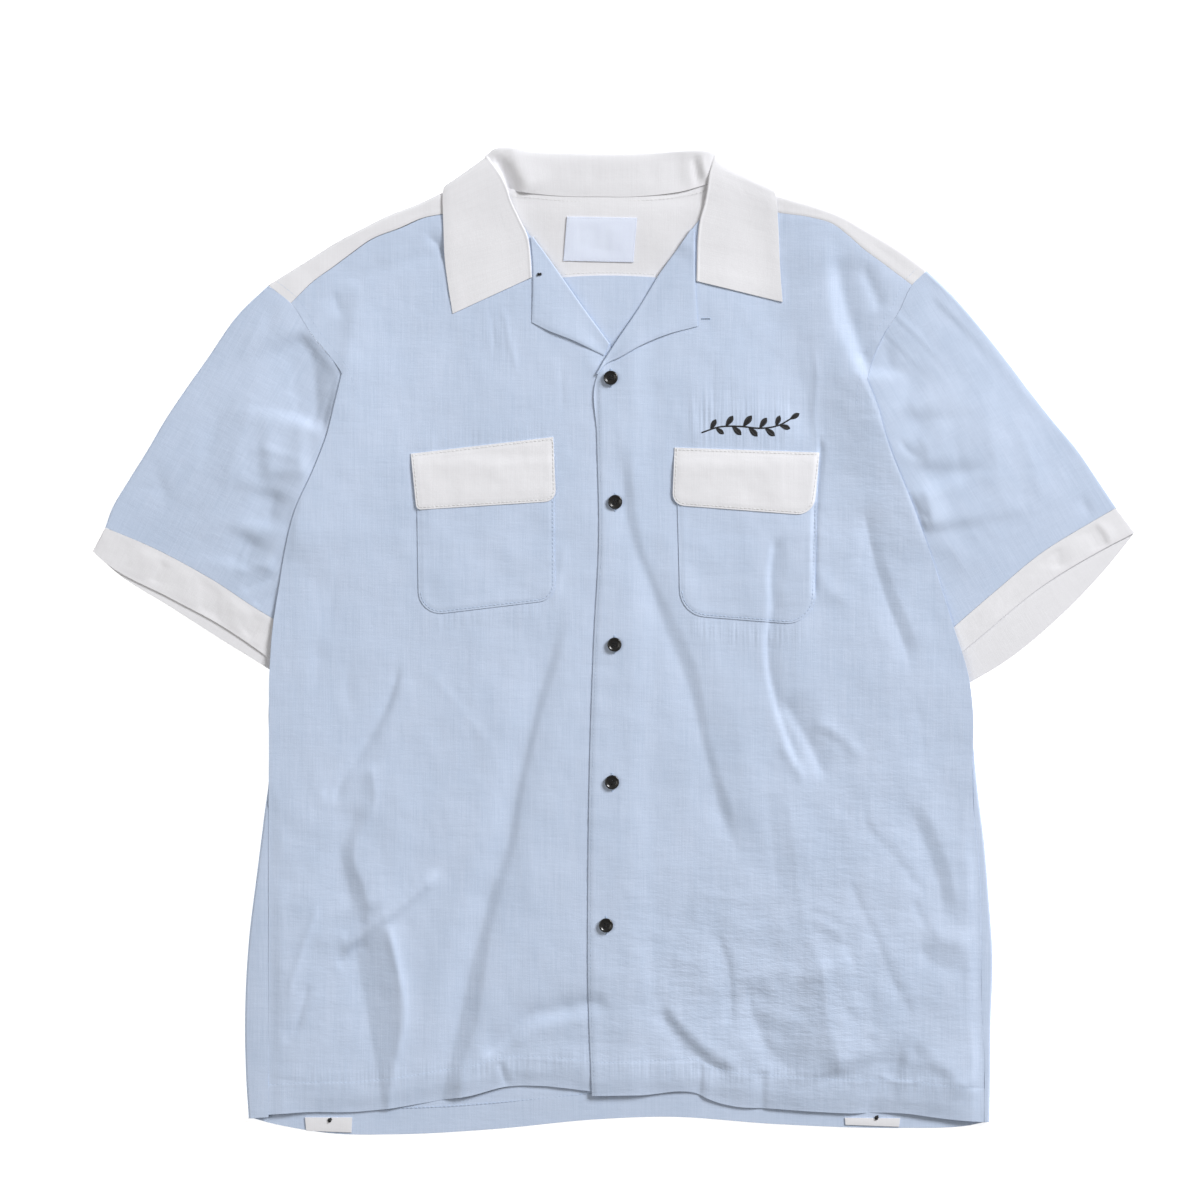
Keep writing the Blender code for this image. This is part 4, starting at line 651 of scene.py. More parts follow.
BUTTON_PROFILE = (  # radius, height
    (0, 0), (3.6, 0), (4.6, 0.12), (5.35, 0.5), (5.7, 1.0), (5.7, 1.65), (5.55, 2.1), (5.2, 2.36),
    (4.85, 2.4), (4.5, 2.3), (4.15, 2.0), (3.8, 1.72), (3.3, 1.58), (2.0, 1.52), (0, 1.5),
)
BUTTON_LIFT = 0.35
BUTTON_TURNS = (0.25, -0.3, 0.1, 0.5, -0.15)
BUTTON_STEPS = 64
BUTTON_SHARP = 50  # degrees
HOLE_RADIUS = 0.62
HOLE_OFFSET = 1.15
HOLE_STEPS = 16
HOLE_DEPTH = 8.0
SLOPE_REACH = 5.0  # how far to each side the cloth's slope is measured
BUTTON_THREAD_Z = 1.68
BUTTON_THREAD_LAY = (-0.16, 0.16)
BUTTON_THREAD_REACH = 1.05

THREAD = 0.34  # thickness of a thread
THREAD_SIDES = 6
THREAD_TIP = 0.8  # length of its tip, in radii
THREAD_BED = 0.04  # how far it lies in the cloth
ON_CLOTH = 0.5 * CLOTH + 0.05
BAR_THREAD = 1.1
STITCH_PITCH = 0.45  # from one stitch of a buttonhole to the next

STITCH_LENGTH = 2.5
STITCH_GAP = 0.8
FINE_THREAD = 0.8
NECK_THREAD = 0.7
LABEL_STITCHES = {"length": 1.6, "gap": 0.5, "thick": 0.6, "above": 0.5 * LABEL_THICKNESS}

# Seam stitches: how many points draw each line, how far from the edge or seam it runs, and how high.
SEAM_POINTS = {
    "hem": 60,
    "armhole": 60,
    "placket": 120,
    "back hem": 120,
    "yoke": 160,
    "neck": 100,
    "sprig": 60,
}
HEM_STITCH_END = 290.0
ARMHOLE_STITCH_IN = 6.5
ARMHOLE_STITCH_LOW = 150.0
EDGE_STITCH_IN = 1.8
POCKET_STITCH_RISE = 0.8
FLAP_STITCH_RISE = -0.1
PLACKET_STITCH_IN = 2.2
BACK_HEM_STITCH_UP = 21.0
BACK_HEM_STITCH_RISE = 0.7
LABEL_STITCH_IN = 1.2
LABEL_STITCH_RISE = 0.95
YOKE_STITCH_UP = 2.5
YOKE_STITCH_RISE = 0.1
NECK_STITCH_DOWN = 3.0
NECK_STITCH_RISE = -0.08

BUTTONHOLE_HALF = 7.6
BUTTONHOLE_WIDTH = 1.0
LOOP_HOLE = (73.0, 259.0, 3.6, 0.8)  # middle x, y, half length, half width
# Painted shadow: the two ends of a black strand along the loop's slit, a dark thread where the open slit is
# only in shade, and how high it lies.
LOOP_SLIT_SHADOW = ((69.2, 259), (76.8, 259.2))
LOOP_SLIT_SHADOW_RISE = 0.12

KNOT_STRANDS = 14
KNOT_TURN = 2.4
KNOT_REACH = (0.35, 0.15, 1.7)  # half length: mean, how much it changes, and how fast
KNOT_OFFSET = (0.3, 2.1)  # most, and how fast it changes
KNOT_CLIMB = (0.05, 0.04)  # rise of each strand's two ends over the last one's
KNOT_THREAD = 3.4
LAPEL_KNOT = (-60, 294.5)
LAPEL_KNOT_SIZE = (3.8, 3.2)
LAPEL_KNOT_RISE = 0.9
TAB_KNOTS = ((-228, -382.5), (210, -380.5))
TAB_KNOT_SIZE = (4.5, 4.5)
TAB_KNOT_RISE = 1.5

# The sprig: its stem, and each leaf's place along it, direction in degrees and length.
SPRIG_STEM = ((70, 168), (84, 172.5), (100, 173), (118, 171.5), (132, 174), (141, 179))
SPRIG_LEAVES = (  # place along the stem, direction, length
    (0.10, 62, 9), (0.16, -38, 8), (0.27, 55, 10), (0.34, -44, 10), (0.46, 52, 11), (0.52, -46, 10),
    (0.64, 56, 10), (0.70, -40, 10), (0.82, 70, 9), (0.86, -18, 9), (0.99, 32, 9),
)
STEM_THREAD = 3.6
STEM_OVERLAP = 0.4  # share of a step by which the stem's stitches overlap
VEIN_THREAD = 1.7
VEIN_LENGTH = 0.92  # share of the leaf
LEAF_THREAD = 2.0
LEAF_PITCH = 0.42
LEAF_WIDTH = (0.21, 0.2)  # half width: share of the length, and the least
LEAF_FORM = 0.8  # power that brings the widest place towards the root
LEAF_SLANT = 0.9

# The rectangle of the plan that holds each front: lowest and highest corner.
FRONT_REACH = {"right": ((-300, -400), (30, 380)), "left": ((-40, -400), (315, 380))}

# Studio: the frame's width and middle, the lens, and the lights.
FRAME_WIDTH = 960.0
FRAME_CENTRE = (-11.6, 34.0)
EYE_LEVEL = 5.0
SENSOR_WIDTH = 36.0
LENS = 95.0
CLIP_END = 20
FLOOR_HALF = 4.0  # metres
FLOOR_Z = -0.0002
FLOOR_LOOK = {
    "Base Color": (0.93, 0.93, 0.935, 1),
    "Roughness": 0.9,
    "Emission Color": (1, 1, 1, 1),
    "Emission Strength": 0.62,
}
WORLD_LIGHT = 0.20
WORLD_COLOUR = (1.0, 0.975, 0.93, 1)
LIGHTS = (  # name, place in metres, size in metres, colour, watts
    ("key_light", (4.5, 3.6, 3.5), (2.2, 2.2), (0.985, 0.99, 1.0), 528.0),
    ("fill_light", (-1.9, 0.1, 2.3), (1.6, 1.6), (1.0, 0.98, 0.94), 21.5),
)

# ---------------------------------------------------------------- curves and heights


def smoothstep(value, low, high):
    """0 below low, 1 above high, easing between them."""
    share = np.clip((np.asarray(value, float) - low) / (high - low), 0, 1)
    return share * share * (3 - 2 * share)


def eased(value, blend):
    """0 before the named blend starts and 1 from its end."""
    return smoothstep(value, *BLENDS[blend])


def bell(distance, reach):
    """1 in the middle, easing to nothing within about twice the reach."""
    return np.exp(-((distance / reach) ** 2))


def faded(along, length, fade):
    """1 on the middle of a path, easing to 0 at both of its ends."""
    return smoothstep(along, 0, fade) * smoothstep(length - along, 0, fade)


def places(x, y):
    """Both coordinates as arrays of one shape."""
    return np.broadcast_arrays(np.asarray(x, float), np.asarray(y, float))


def level_at(surface, x, y):
    """The height of a surface at one place."""
    return float(surface(np.array(x), np.array(y)))


def run_of(points):
    """How far along its line each point lies."""
    return np.concatenate([[0], np.cumsum(np.linalg.norm(np.diff(points, axis=0), axis=1))])


def along_line(line, steps):
    """The points of a line at these distances along it."""
    place = run_of(line)
    return np.stack([np.interp(steps, place, line[:, k]) for k in range(line.shape[1])], axis=-1)


def refined(points, pieces=16):
    """A smooth curve through the points, with each span cut into the same number of pieces."""
    knots = np.array(points, float)
    if len(knots) == 2:
        share = np.linspace(0, 1, pieces + 1)[:, None]
        return knots[0] * (1 - share) + knots[1] * share
    place = run_of(knots)
    slope = np.gradient(knots, place, axis=0)
    curve = [knots[:1]]
    for i in range(len(knots) - 1):
        span = place[i + 1] - place[i]
        t = np.linspace(0, 1, pieces + 1)[1:, None]
        curve.append(
            (2 * t**3 - 3 * t**2 + 1) * knots[i]
            + (t**3 - 2 * t**2 + t) * span * slope[i]
            + (3 * t**2 - 2 * t**3) * knots[i + 1]
            + (t**3 - t**2) * span * slope[i + 1]
        )
    return np.concatenate(curve)


def spaced(line, count):
    """That many points at equal steps along a line of points."""
    return along_line(line, np.linspace(0, run_of(line)[-1], count))


def stepped(line, count):
    """Points along a line from the hem up: close together where the hem is stitched, even from there."""
    top = HEM_PLACES[-1]
    upper = np.linspace(top, run_of(line)[-1], count - len(HEM_PLACES) + 1)[1:]
    return along_line(line, np.concatenate([HEM_PLACES, upper]))


def even(points, count):
    """That many points at equal steps along the smooth curve through the given ones."""
    return spaced(refined(points), count)


def between(low, high, left, right):
    """A grid that fills four edge curves: rows run from low to high, columns from left to right."""
    v = np.linspace(0, 1, len(left))[:, None, None]
    u = np.linspace(0, 1, len(low))[None, :, None]
    across = (1 - u) * left[:, None] + u * right[:, None]
    along = (1 - v) * low[None] + v * high[None]
    corners = (1 - v) * ((1 - u) * low[0] + u * low[-1]) + v * ((1 - u) * high[0] + u * high[-1])
    return across + along - corners


def outward(edge, inside):
    """Unit directions that leave a panel across its edge, at right angles to it."""
    run = np.gradient(edge, axis=0)
    across = np.stack([run[:, 1], -run[:, 0]], axis=1)
    across /= np.maximum(np.linalg.norm(across, axis=1), 1e-9)[:, None]
    return across * np.sign(((edge - inside) * across).sum())


def trimmed(grid, first_row=0, last_row=0, first_column=0, last_column=0):
    """The grid with its outer rows and columns drawn in by these distances."""
    grid = grid.copy()
    if first_row:
        grid[0] -= outward(grid[0], grid[1]) * first_row
    if last_row:
        grid[-1] -= outward(grid[-1], grid[-2]) * last_row
    if first_column:
        grid[:, 0] -= outward(grid[:, 0], grid[:, 1]) * first_column
    if last_column:
        grid[:, -1] -= outward(grid[:, -1], grid[:, -2]) * last_column
    return grid


def inset(ring, distance):
    """A closed outline drawn in towards its middle, at right angles to itself."""
    middle = ring.mean(axis=0)
    return ring - outward(ring, np.broadcast_to(middle, ring.shape)) * distance


def beside(x, y, path, reach):
    """For places within reach of a path: which they are, distance, side of it and place along it."""
    line = refined(path, PATH_PIECES)
    low = line.min(axis=0) - reach
    high = line.max(axis=0) + reach
    near = (x > low[0]) & (x < high[0]) & (y > low[1]) & (y < high[1])
    px = x[near]
    py = y[near]
    place = run_of(line)
    distance = np.full(px.shape, np.inf)
    along = np.zeros(px.shape)
    turn = np.zeros(px.shape)
    for i in range(len(line) - 1):
        step = line[i + 1] - line[i]
        share = np.clip(((px - line[i, 0]) * step[0] + (py - line[i, 1]) * step[1]) / (step @ step), 0, 1)
        dx = px - line[i, 0] - share * step[0]
        dy = py - line[i, 1] - share * step[1]
        gap = np.hypot(dx, dy)
        closer = gap < distance
        along = np.where(closer, place[i] + share * (place[i + 1] - place[i]), along)
        turn = np.where(closer, step[0] * dy - step[1] * dx, turn)
        distance = np.where(closer, gap, distance)
    return near, distance, turn, along, place[-1]


def crease_height(x, y, creases, crisp=True):
    """The sum of the creases at each place: a ridge or trough along each path, fading at its ends.

    A crisp crease is pressed to a line and eases off from it; the others are round all over.
    """
    x, y = places(x, y)
    total = np.zeros(x.shape)
    for _, rise, left_width, right_width, fade, path in creases:
        reach = CREASE_REACH * max(left_width, right_width)
        near, distance, turn, along, length = beside(x, y, path, reach)
        share = distance / np.where(turn > 0, left_width, right_width)
        if crisp:
            tip = CREASE_ROUND / min(left_width, right_width)
            edge = np.clip(1 - (share / CREASE_REACH) ** 2, 0, 1) ** 2
            form = np.exp(tip - np.hypot(share, tip)) * edge
        else:
            form = bell(share, 1)
        total[near] += rise * faded(along, length, fade) * form
    return total


def pucker_height(x, y):
    """Short gathers at right angles to the seams that pull the cloth in."""
    total = np.zeros(x.shape)
    for number, (_, rise, wave, reach, path) in enumerate(PUCKERS):
        near, distance, _, along, length = beside(x, y, path, GATHER_REACH * reach)
        steps = np.arange(0, length + 4 * wave, wave / 5)
        ripple = [noise.noise((s / wave * RIPPLE_PACE, RIPPLE_ROW * number, 0.5)) for s in steps]
        form = faded(along, length, PUCKER_FADE) * np.interp(along, steps, ripple) * bell(distance, reach)
        total[near] += 2 * rise * form
    return total


def read_between(table, i, j, smooth=False):
    """Values between the points of a table, at fractional columns i and rows j."""
    i = np.clip(i, 0, table.shape[1] - 1.001)
    j = np.clip(j, 0, table.shape[0] - 1.001)
    i0 = i.astype(int)
    j0 = j.astype(int)
    u = i - i0
    v = j - j0
    if smooth:
        u = smoothstep(u, 0, 1)
        v = smoothstep(v, 0, 1)
    below = table[j0, i0] * (1 - u) + table[j0, i0 + 1] * u
    above = table[j0 + 1, i0] * (1 - u) + table[j0 + 1, i0 + 1] * u
    return below * (1 - v) + above * v


def unevenness(x, y, size, layer):
    """Smooth noise between about -1 and 1, read from a grid of points a third of its size apart."""
    step = size / 3
    low_x = math.floor(x.min() / step)
    low_y = math.floor(y.min() / step)
    columns = range(low_x, math.ceil(x.max() / step) + 2)
    rows = range(low_y, math.ceil(y.max() / step) + 2)
    table = np.array([[2 * noise.noise((i / 3, j / 3, layer)) for i in columns] for j in rows])
    return read_between(table, x / step - low_x, y / step - low_y, smooth=True)


def waviness(kind, x, y):
    """The slight waves that this kind of piece keeps."""
    return sum(height * unevenness(x, y, size, layer) for height, size, layer in WAVES[kind])


def ditch(x, y, path, depth=DITCH_DEPTH, width=DITCH_WIDTH):
    """How far a panel sinks at the seam along a path."""
    sunk = np.zeros(np.shape(x))
    near, distance, *_ = beside(x, y, path, CREASE_REACH * width)
    sunk[near] = depth * bell(distance, width)
    return sunk


def side_seam_x(side, y):
    """How far across the shirt a front's outer edge lies."""
    edge_x, edge_y = zip(*SHIRT[side]["outer"])
    return np.interp(y, edge_y, edge_x)


def hem_y(line, x):
    """How far up the shirt a hem lies."""
    return np.interp(x, *zip(*sorted(line)))


def front_height(x, y, side="right"):
    """Middle surface of a front above the table. The left front lies on the right one's edge."""
    x, y = places(x, y)
    folds = [(name, rise, width, width, fade, path) for name, rise, width, fade, path in FOLDS]
    height = np.interp(y, *zip(*BED)) + crease_height(x, y, folds, crisp=False)
    if side == "left":
        on_edge = (1 - eased(x, "off the overlap, x")) * (1 - eased(y, "off the overlap, y"))
        height = height + OVERLAP_RISE * on_edge
    return height


def rumpled(x, y):
    """How crumpled the fronts are: most on the left one from its middle to its hem."""
    total = RUMPLE_BASE + np.zeros(np.shape(x))
    for middle_x, middle_y, reach_x, reach_y, amount in RUMPLES:
        total = total + amount * np.exp(-(((x - middle_x) / reach_x) ** 2) - ((y - middle_y) / reach_y) ** 2)
    return total


def cloth_height(x, y, side="right"):
    """The front's middle surface with its finer creases, gathers and unevenness."""
    x, y = places(x, y)
    fine = crease_height(x, y, CREASES) + pucker_height(x, y) + waviness("front", x, y)
    fine = fine + crease_height(x, y, SWELLS, crisp=False)
    fine = fine + (rumpled(x, y) - RUMPLE_BASE) * waviness("crumpled", x, y)
    from_seam = np.abs(side_seam_x(side, y) - x)
    creased = eased(from_seam, "creases beside the side seam") + eased(y, "creases above the side seam, y")
    return front_height(x, y, side) + fine * np.minimum(creased, 1)


def sampled(height, low, high, step=1.0):
    """A height function worked out once on an even grid, and read between its points from then on."""
    xs = np.arange(low[0], high[0] + step, step)
    ys = np.arange(low[1], high[1] + step, step)
    table = height(*np.meshgrid(xs, ys))

    def read(x, y):
        column = (np.asarray(x, float) - low[0]) / step
        row = (np.asarray(y, float) - low[1]) / step
        return read_between(table, column, row)

    return read


def lifted(plan, height):
    """Plan points with their heights as a third coordinate."""
    return np.concatenate([plan, np.broadcast_to(height, plan.shape[:-1])[..., None]], axis=-1)


def curled(edge, away, height, radius, amount, tail):
    """Columns that carry a panel on round a half turn at its edge and back over itself.

    amount goes from 0, where the cloth runs out flat to the edge, to 1, a half turn whose outer face
    keeps to the edge. tail is the straight width after the turn.
    """
    turn = np.append(np.linspace(0, math.pi, TURN_STEPS + 1), math.pi)
    after = np.append(np.zeros(TURN_STEPS + 1), 1) * tail[:, None]
    round_x = radius * np.sin(turn) - after
    round_z = radius * (1 - np.cos(turn))
    length = radius * turn + after
    straight_x = length - length[:, -1:]
    share = amount[:, None]
    path_x = straight_x * (1 - share) + (round_x - radius - 0.5 * CLOTH) * share
    flat = edge[:, None] + away[:, None] * path_x[..., None]
    return lifted(flat, height + round_z * share)


# ---------------------------------------------------------------- materials


def node_of(tree, kind, inputs, **settings):
    """A new shader node with these properties, its inputs linked to sockets or set to values."""
    made = tree.nodes.new(kind)
    for name, value in settings.items():
        setattr(made, name, value)
    for name, value in inputs.items():
        if isinstance(value, bpy.types.NodeSocket):
            tree.links.new(value, made.inputs[name])
        else:
            made.inputs[name].default_value = value
    return made


def combined(tree, operation, first, second):
    """A math node on two values or sockets."""
    return node_of(tree, "ShaderNodeMath", {0: first, 1: second}, operation=operation).outputs[0]


def mixed(tree, sockets, weights):
    """The sum of sockets, each with its weight."""
    total = 0.0
    for socket, weight in zip(sockets, weights):
        total = combined(tree, "ADD", total, combined(tree, "MULTIPLY", socket, weight))
    return total


def streaks(tree, grain, scale, detail):
    """Noise drawn out into yarns by its scale across and along the cloth; the scale is per metre."""
    stretch = node_of(tree, "ShaderNodeMapping", {"Vector": grain, "Scale": (*scale, 1)})
    inputs = {"Vector": stretch.outputs["Vector"], "Scale": 1.0, "Detail": detail, "Roughness": 0.65}
    return node_of(tree, "ShaderNodeTexNoise", inputs, noise_dimensions="2D").outputs["Fac"]


def where_marked(tree, pattern, mark):
    """A pattern as strong as the cloth's points are marked with it."""
    strength = node_of(tree, "ShaderNodeAttribute", {}, attribute_name=mark).outputs["Fac"]
    return combined(tree, "MULTIPLY", pattern, strength)


def yarn_bands(tree, grain, direction, per_metre):
    """A sine band across the cloth, one for each yarn."""
    inputs = {"Vector": grain, "Scale": per_metre * math.pi / 10, "Distortion": 0.0}
    band = node_of(tree, "ShaderNodeTexWave", inputs, bands_direction=direction, wave_profile="SIN")
    return band.outputs["Fac"]


def painted(tree, shader, factor, dark, light, stops, relief, distance):
    """Colour the shader from dark to light between two stops of a factor, and raise it by a relief."""
    ramp = node_of(tree, "ShaderNodeValToRGB", {"Fac": factor})
    for number, (stop, colour) in enumerate(zip(stops, (dark, light))):
        ramp.color_ramp.elements[number].position = stop
        ramp.color_ramp.elements[number].color = colour
    tree.links.new(ramp.outputs["Color"], shader.inputs["Base Color"])
    bump = node_of(tree, "ShaderNodeBump", {"Height": relief, "Strength": 1.0, "Distance": distance})
    tree.links.new(bump.outputs["Normal"], shader.inputs["Normal"])


def material_of(name, inputs):
    """A material whose shader has these inputs, with its node tree and shader."""
    made = bpy.data.materials.new(name)
    made.use_nodes = True
    shader = made.node_tree.nodes["Principled BSDF"]
    for socket, value in inputs.items():
        shader.inputs[socket].default_value = value
    return made, made.node_tree, shader


def cloth_material(name, look):
    """Plain weave with slubs along both yarns, shade that varies from yarn to yarn, and a soft sheen."""
    surface = {
        "Roughness": look["roughness"],
        "Sheen Weight": look["sheen"],
        "Sheen Roughness": SHEEN_ROUGHNESS,
        "Specular IOR Level": look["specular"],
    }
    made, tree, shader = material_of(name, surface)
    grain = node_of(tree, "ShaderNodeUVMap", {}, uv_map="grain").outputs["UV"]
    warp = streaks(tree, grain, look["warp"], 3.0)
    weft = streaks(tree, grain, look["weft"], 3.0)
    coarse = streaks(tree, grain, COARSE_YARNS, 1.0)
    mottle = streaks(tree, grain, MOTTLE, 3.0)
    over = yarn_bands(tree, grain, "X", look["yarns"])
    under = yarn_bands(tree, grain, "Y", look["yarns"])
    weave = combined(tree, "MULTIPLY", over, under)
    crumple = where_marked(tree, streaks(tree, grain, look["wrinkle"], 4.0), "rumple")
    gathers = where_marked(tree, streaks(tree, grain, GATHER_LINES, 1.0), "gather")
    shade = mixed(tree, (warp, coarse, weft, mottle), SHADE_WEIGHTS)
    relief = mixed(tree, (weave, warp, weft, gathers, crumple), (*RELIEF_WEIGHTS, look["crumple"]))
    painted(tree, shader, shade, look["dark"], look["light"], SHADE_STOPS, relief, look["bump"])
    return made


def plain_material(name, light, dark, roughness, coat, scale):
    """Plastic or thread: a slight unevenness of shade, gloss and surface."""
    made, tree, shader = material_of(name, {"Roughness": roughness, "Coat Weight": coat})
    place = node_of(tree, "ShaderNodeTexCoord", {}).outputs["Object"]
    inputs = {"Vector": place, "Scale": scale, "Detail": 3.0}
    pattern = node_of(tree, "ShaderNodeTexNoise", inputs).outputs["Fac"]
    painted(tree, shader, pattern, dark, light, (0.0, 1.0), pattern, PLAIN_BUMP)
    return made


# Patterns of every cloth, per metre across and along it: thick yarns, soft patches and gathered lines.
COARSE_YARNS = (430, 9)
MOTTLE = (16, 16)
GATHER_LINES = (230, 12)
SHADE_WEIGHTS = (0.36, 0.14, 0.20, 0.30)  # warp, thick yarns, weft, soft patches
RELIEF_WEIGHTS = (0.08, 0.12, 0.072, 2.4)  # weave, warp, weft, gathered lines
SHADE_STOPS = (0.38, 0.62)
SHEEN_ROUGHNESS = 0.45
PLAIN_BUMP = 0.00004

LOOKS = {
    "shirt_cloth": {
        "light": (0.580, 0.670, 0.842, 1),
        "dark": (0.505, 0.600, 0.768, 1),
        "roughness": 0.62,
        "sheen": 0.12,
        "specular": 0.30,
        "warp": (1300, 34),
        "weft": (30, 1300),
        "yarns": 2300,
        "wrinkle": (42, 130),
        "crumple": 1.7,
        "bump": 0.00045,
    },
    "contrast_cloth": {
        "light": (0.822, 0.822, 0.858, 1),
        "dark": (0.783, 0.783, 0.817, 1),
        "roughness": 0.70,
        "sheen": 0.10,
        "specular": 0.25,
        "warp": (1300, 34),
        "weft": (30, 1300),
        "yarns": 2300,
        "wrinkle": (60, 90),
        "crumple": 1.2,
        "bump": 0.0004,
    },
    "label_cloth": {
        "light": (0.80, 0.86, 1.0, 1),
        "dark": (0.765, 0.82, 0.98, 1),
        "roughness": 0.42,
        "sheen": 0.05,
        "specular": 0.40,
        "warp": (2600, 90),
        "weft": (120, 2600),
        "yarns": 4200,
        "wrinkle": (60, 60),
        "crumple": 0.6,
        "bump": 0.0002,
    },
}
PLAIN_LOOKS = (  # name, light, dark, roughness, coat, pattern scale
    ("button_plastic", (0.016, 0.015, 0.015, 1), (0.008, 0.008, 0.008, 1), 0.28, 0.3, 900.0),
    ("black_thread", (0.018, 0.018, 0.020, 1), (0.006, 0.006, 0.007, 1), 0.65, 0.0, 2500.0),
    ("blue_thread", (0.56, 0.67, 0.83, 1), (0.47, 0.58, 0.76, 1), 0.55, 0.0, 2500.0),
    ("white_thread", (0.80, 0.80, 0.79, 1), (0.70, 0.70, 0.69, 1), 0.55, 0.0, 2500.0),
    ("label_thread", (0.86, 0.90, 1.0, 1), (0.74, 0.79, 0.92, 1), 0.5, 0.0, 2500.0),
)

# ---------------------------------------------------------------- meshes


def linked(name, data):
    """A new object in the scene."""
    obj = bpy.data.objects.new(name, data)
    bpy.context.scene.collection.objects.link(obj)
    return obj


def mesh_object(name, points, faces, material):
    """A smooth mesh object that rides on the shirt; points are millimetres."""
    mesh = bpy.data.meshes.new(name)
    place = (np.asarray(points, float) + (CENTRE_X, CENTRE_Y, 0)) * MM
    mesh.from_pydata(place.tolist(), [], faces)
    mesh.shade_smooth()
    mesh.materials.append(material)
    obj = linked(name, mesh)
    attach(obj, "root")
    return obj


def just_inside(edge, following, distance):
    """Points that far inside an edge line, or halfway to the next line where that is nearer."""
    width = np.linalg.norm((following - edge)[:, :3], axis=1, keepdims=True)
    return edge + (following - edge) * np.minimum(distance / np.maximum(width, distance), 0.5)


def bordered(field, distance, axis):
    """The grid field with a line of points added just inside its first and last line along an axis."""
    field = np.moveaxis(field, axis, 0)
    first = just_inside(field[0], field[1], distance)
    last = just_inside(field[-1], field[-2], distance)
    return np.moveaxis(np.concatenate([field[:1], first[None], field[1:-1], last[None], field[-1:]]), 0, axis)


def gathered(x, y):
    """How strongly seams that run across the shirt gather the cloth beside them."""
    x, y = places(x, y)
    total = np.zeros(x.shape)
    for amount, reach, path in GATHERS:
        near, distance, _, along, length = beside(x, y, path, GATHER_REACH * reach)
        total[near] += amount * faded(along, length, GATHER_FADE) * bell(distance, reach)
    return total


def grid_cells(rows, columns, closed, keep):
    """The four corners of each cell of a grid whose points are numbered row by row."""
    i, j = np.meshgrid(np.arange(rows - 1), np.arange(columns if closed else columns - 1), indexing="ij")
    k = (j + 1) % columns
    corners = (i * columns + j, i * columns + k, (i + 1) * columns + k, (i + 1) * columns + j)
    cells = np.stack(corners, axis=-1)
    return cells.reshape(-1, 4) if keep is None else cells[np.pad(keep, 1, mode="edge")]


def shell(
    node, grid, slot, grain=None, closed=False, keep=None, thickness=CLOTH, rumple=RUMPLE_BASE, gather=0.0
):
    """The thin cloth of one node: cells through a grid of points, thickened both ways.

    grain holds each point's place in the flat cloth, across and along the yarns; it is the plan view
    where none is given. closed joins the last column to the first. keep says which cells are made.
    rumple and gather are how crumpled and how gathered the cloth's face is, at each point or all over.
    """
    grain = (grid if grain is None else grain)[..., :2]
    face = [np.broadcast_to(value, grid.shape[:2])[..., None] for value in (rumple, gather)]
    fields = bordered(np.concatenate([grid, grain, *face], axis=2), BORDER, 0)
    if not closed:
        fields = bordered(fields, BORDER, 1)
    cells = grid_cells(*fields.shape[:2], closed, keep)
    used, index = np.unique(cells, return_inverse=True)
    cells = index.reshape(-1, 4)
    points, flat, rumple, gather = np.split(fields.reshape(-1, 7)[used], (3, 5, 6), axis=1)
    obj = mesh_object(node + "_cloth", points, cells.tolist(), MATERIALS[slot])
    layer = obj.data.uv_layers.new(name="grain")
    layer.uv.foreach_set("vector", (flat * MM)[cells.reshape(-1)].astype(np.float32).reshape(-1))
    for name, values in (("rumple", rumple), ("gather", gather)):
        amount = obj.data.attributes.new(name, "FLOAT", "POINT")
        amount.data.foreach_set("value", values.reshape(-1).astype(np.float32))
    wall = obj.modifiers.new("wall", "SOLIDIFY")
    wall.thickness = thickness * MM
    wall.offset = 0
    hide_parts(node)
    return obj


def turned(points, degrees):
    """Plan places in axes turned by this angle, for cloth whose yarns lie at a slant."""
    angle = math.radians(degrees)
    across = points[..., 0] * math.cos(angle) + points[..., 1] * math.sin(angle)
    along = points[..., 1] * math.cos(angle) - points[..., 0] * math.sin(angle)
    return np.stack([across, along], axis=-1)


def rounded(corners, steps=8):
    """An outline whose corners are arcs of their own radius; a radius of 0 stays sharp."""
    outline = []
    for i, (corner, radius) in enumerate(corners):
        here = np.array(corner, float)
        if not radius:
            outline.append(here[None])
            continue
        before = np.array(corners[i - 1][0], float) - here
        after = np.array(corners[(i + 1) % len(corners)][0], float) - here
        before /= np.linalg.norm(before)
        after /= np.linalg.norm(after)
        half = math.acos(float(np.clip(before @ after, -1, 1))) / 2
        middle = here + (before + after) / np.linalg.norm(before + after) * radius / math.sin(half)
        first = here + before * radius / math.tan(half) - middle
        last = here + after * radius / math.tan(half) - middle
        start = math.atan2(first[1], first[0])
        sweep = (math.atan2(last[1], last[0]) - start + math.pi) % (2 * math.pi) - math.pi
        angles = start + sweep * np.arange(steps + 1) / steps
        outline.append(middle + radius * np.stack([np.cos(angles), np.sin(angles)], axis=1))
    return outline


def to_outline(x, y, outline):
    """Distance of each place from a closed outline."""
    closed = np.concatenate([outline, outline[:1]])
    nearest = np.full(np.shape(x), np.inf)
    for first, last in zip(closed[:-1], closed[1:]):
        step = last - first
        share = ((x - first[0]) * step[0] + (y - first[1]) * step[1]) / max(step @ step, 1e-9)
        share = np.clip(share, 0, 1)
        gap = np.hypot(x - first[0] - share * step[0], y - first[1] - share * step[1])
        nearest = np.minimum(nearest, gap)
    return nearest


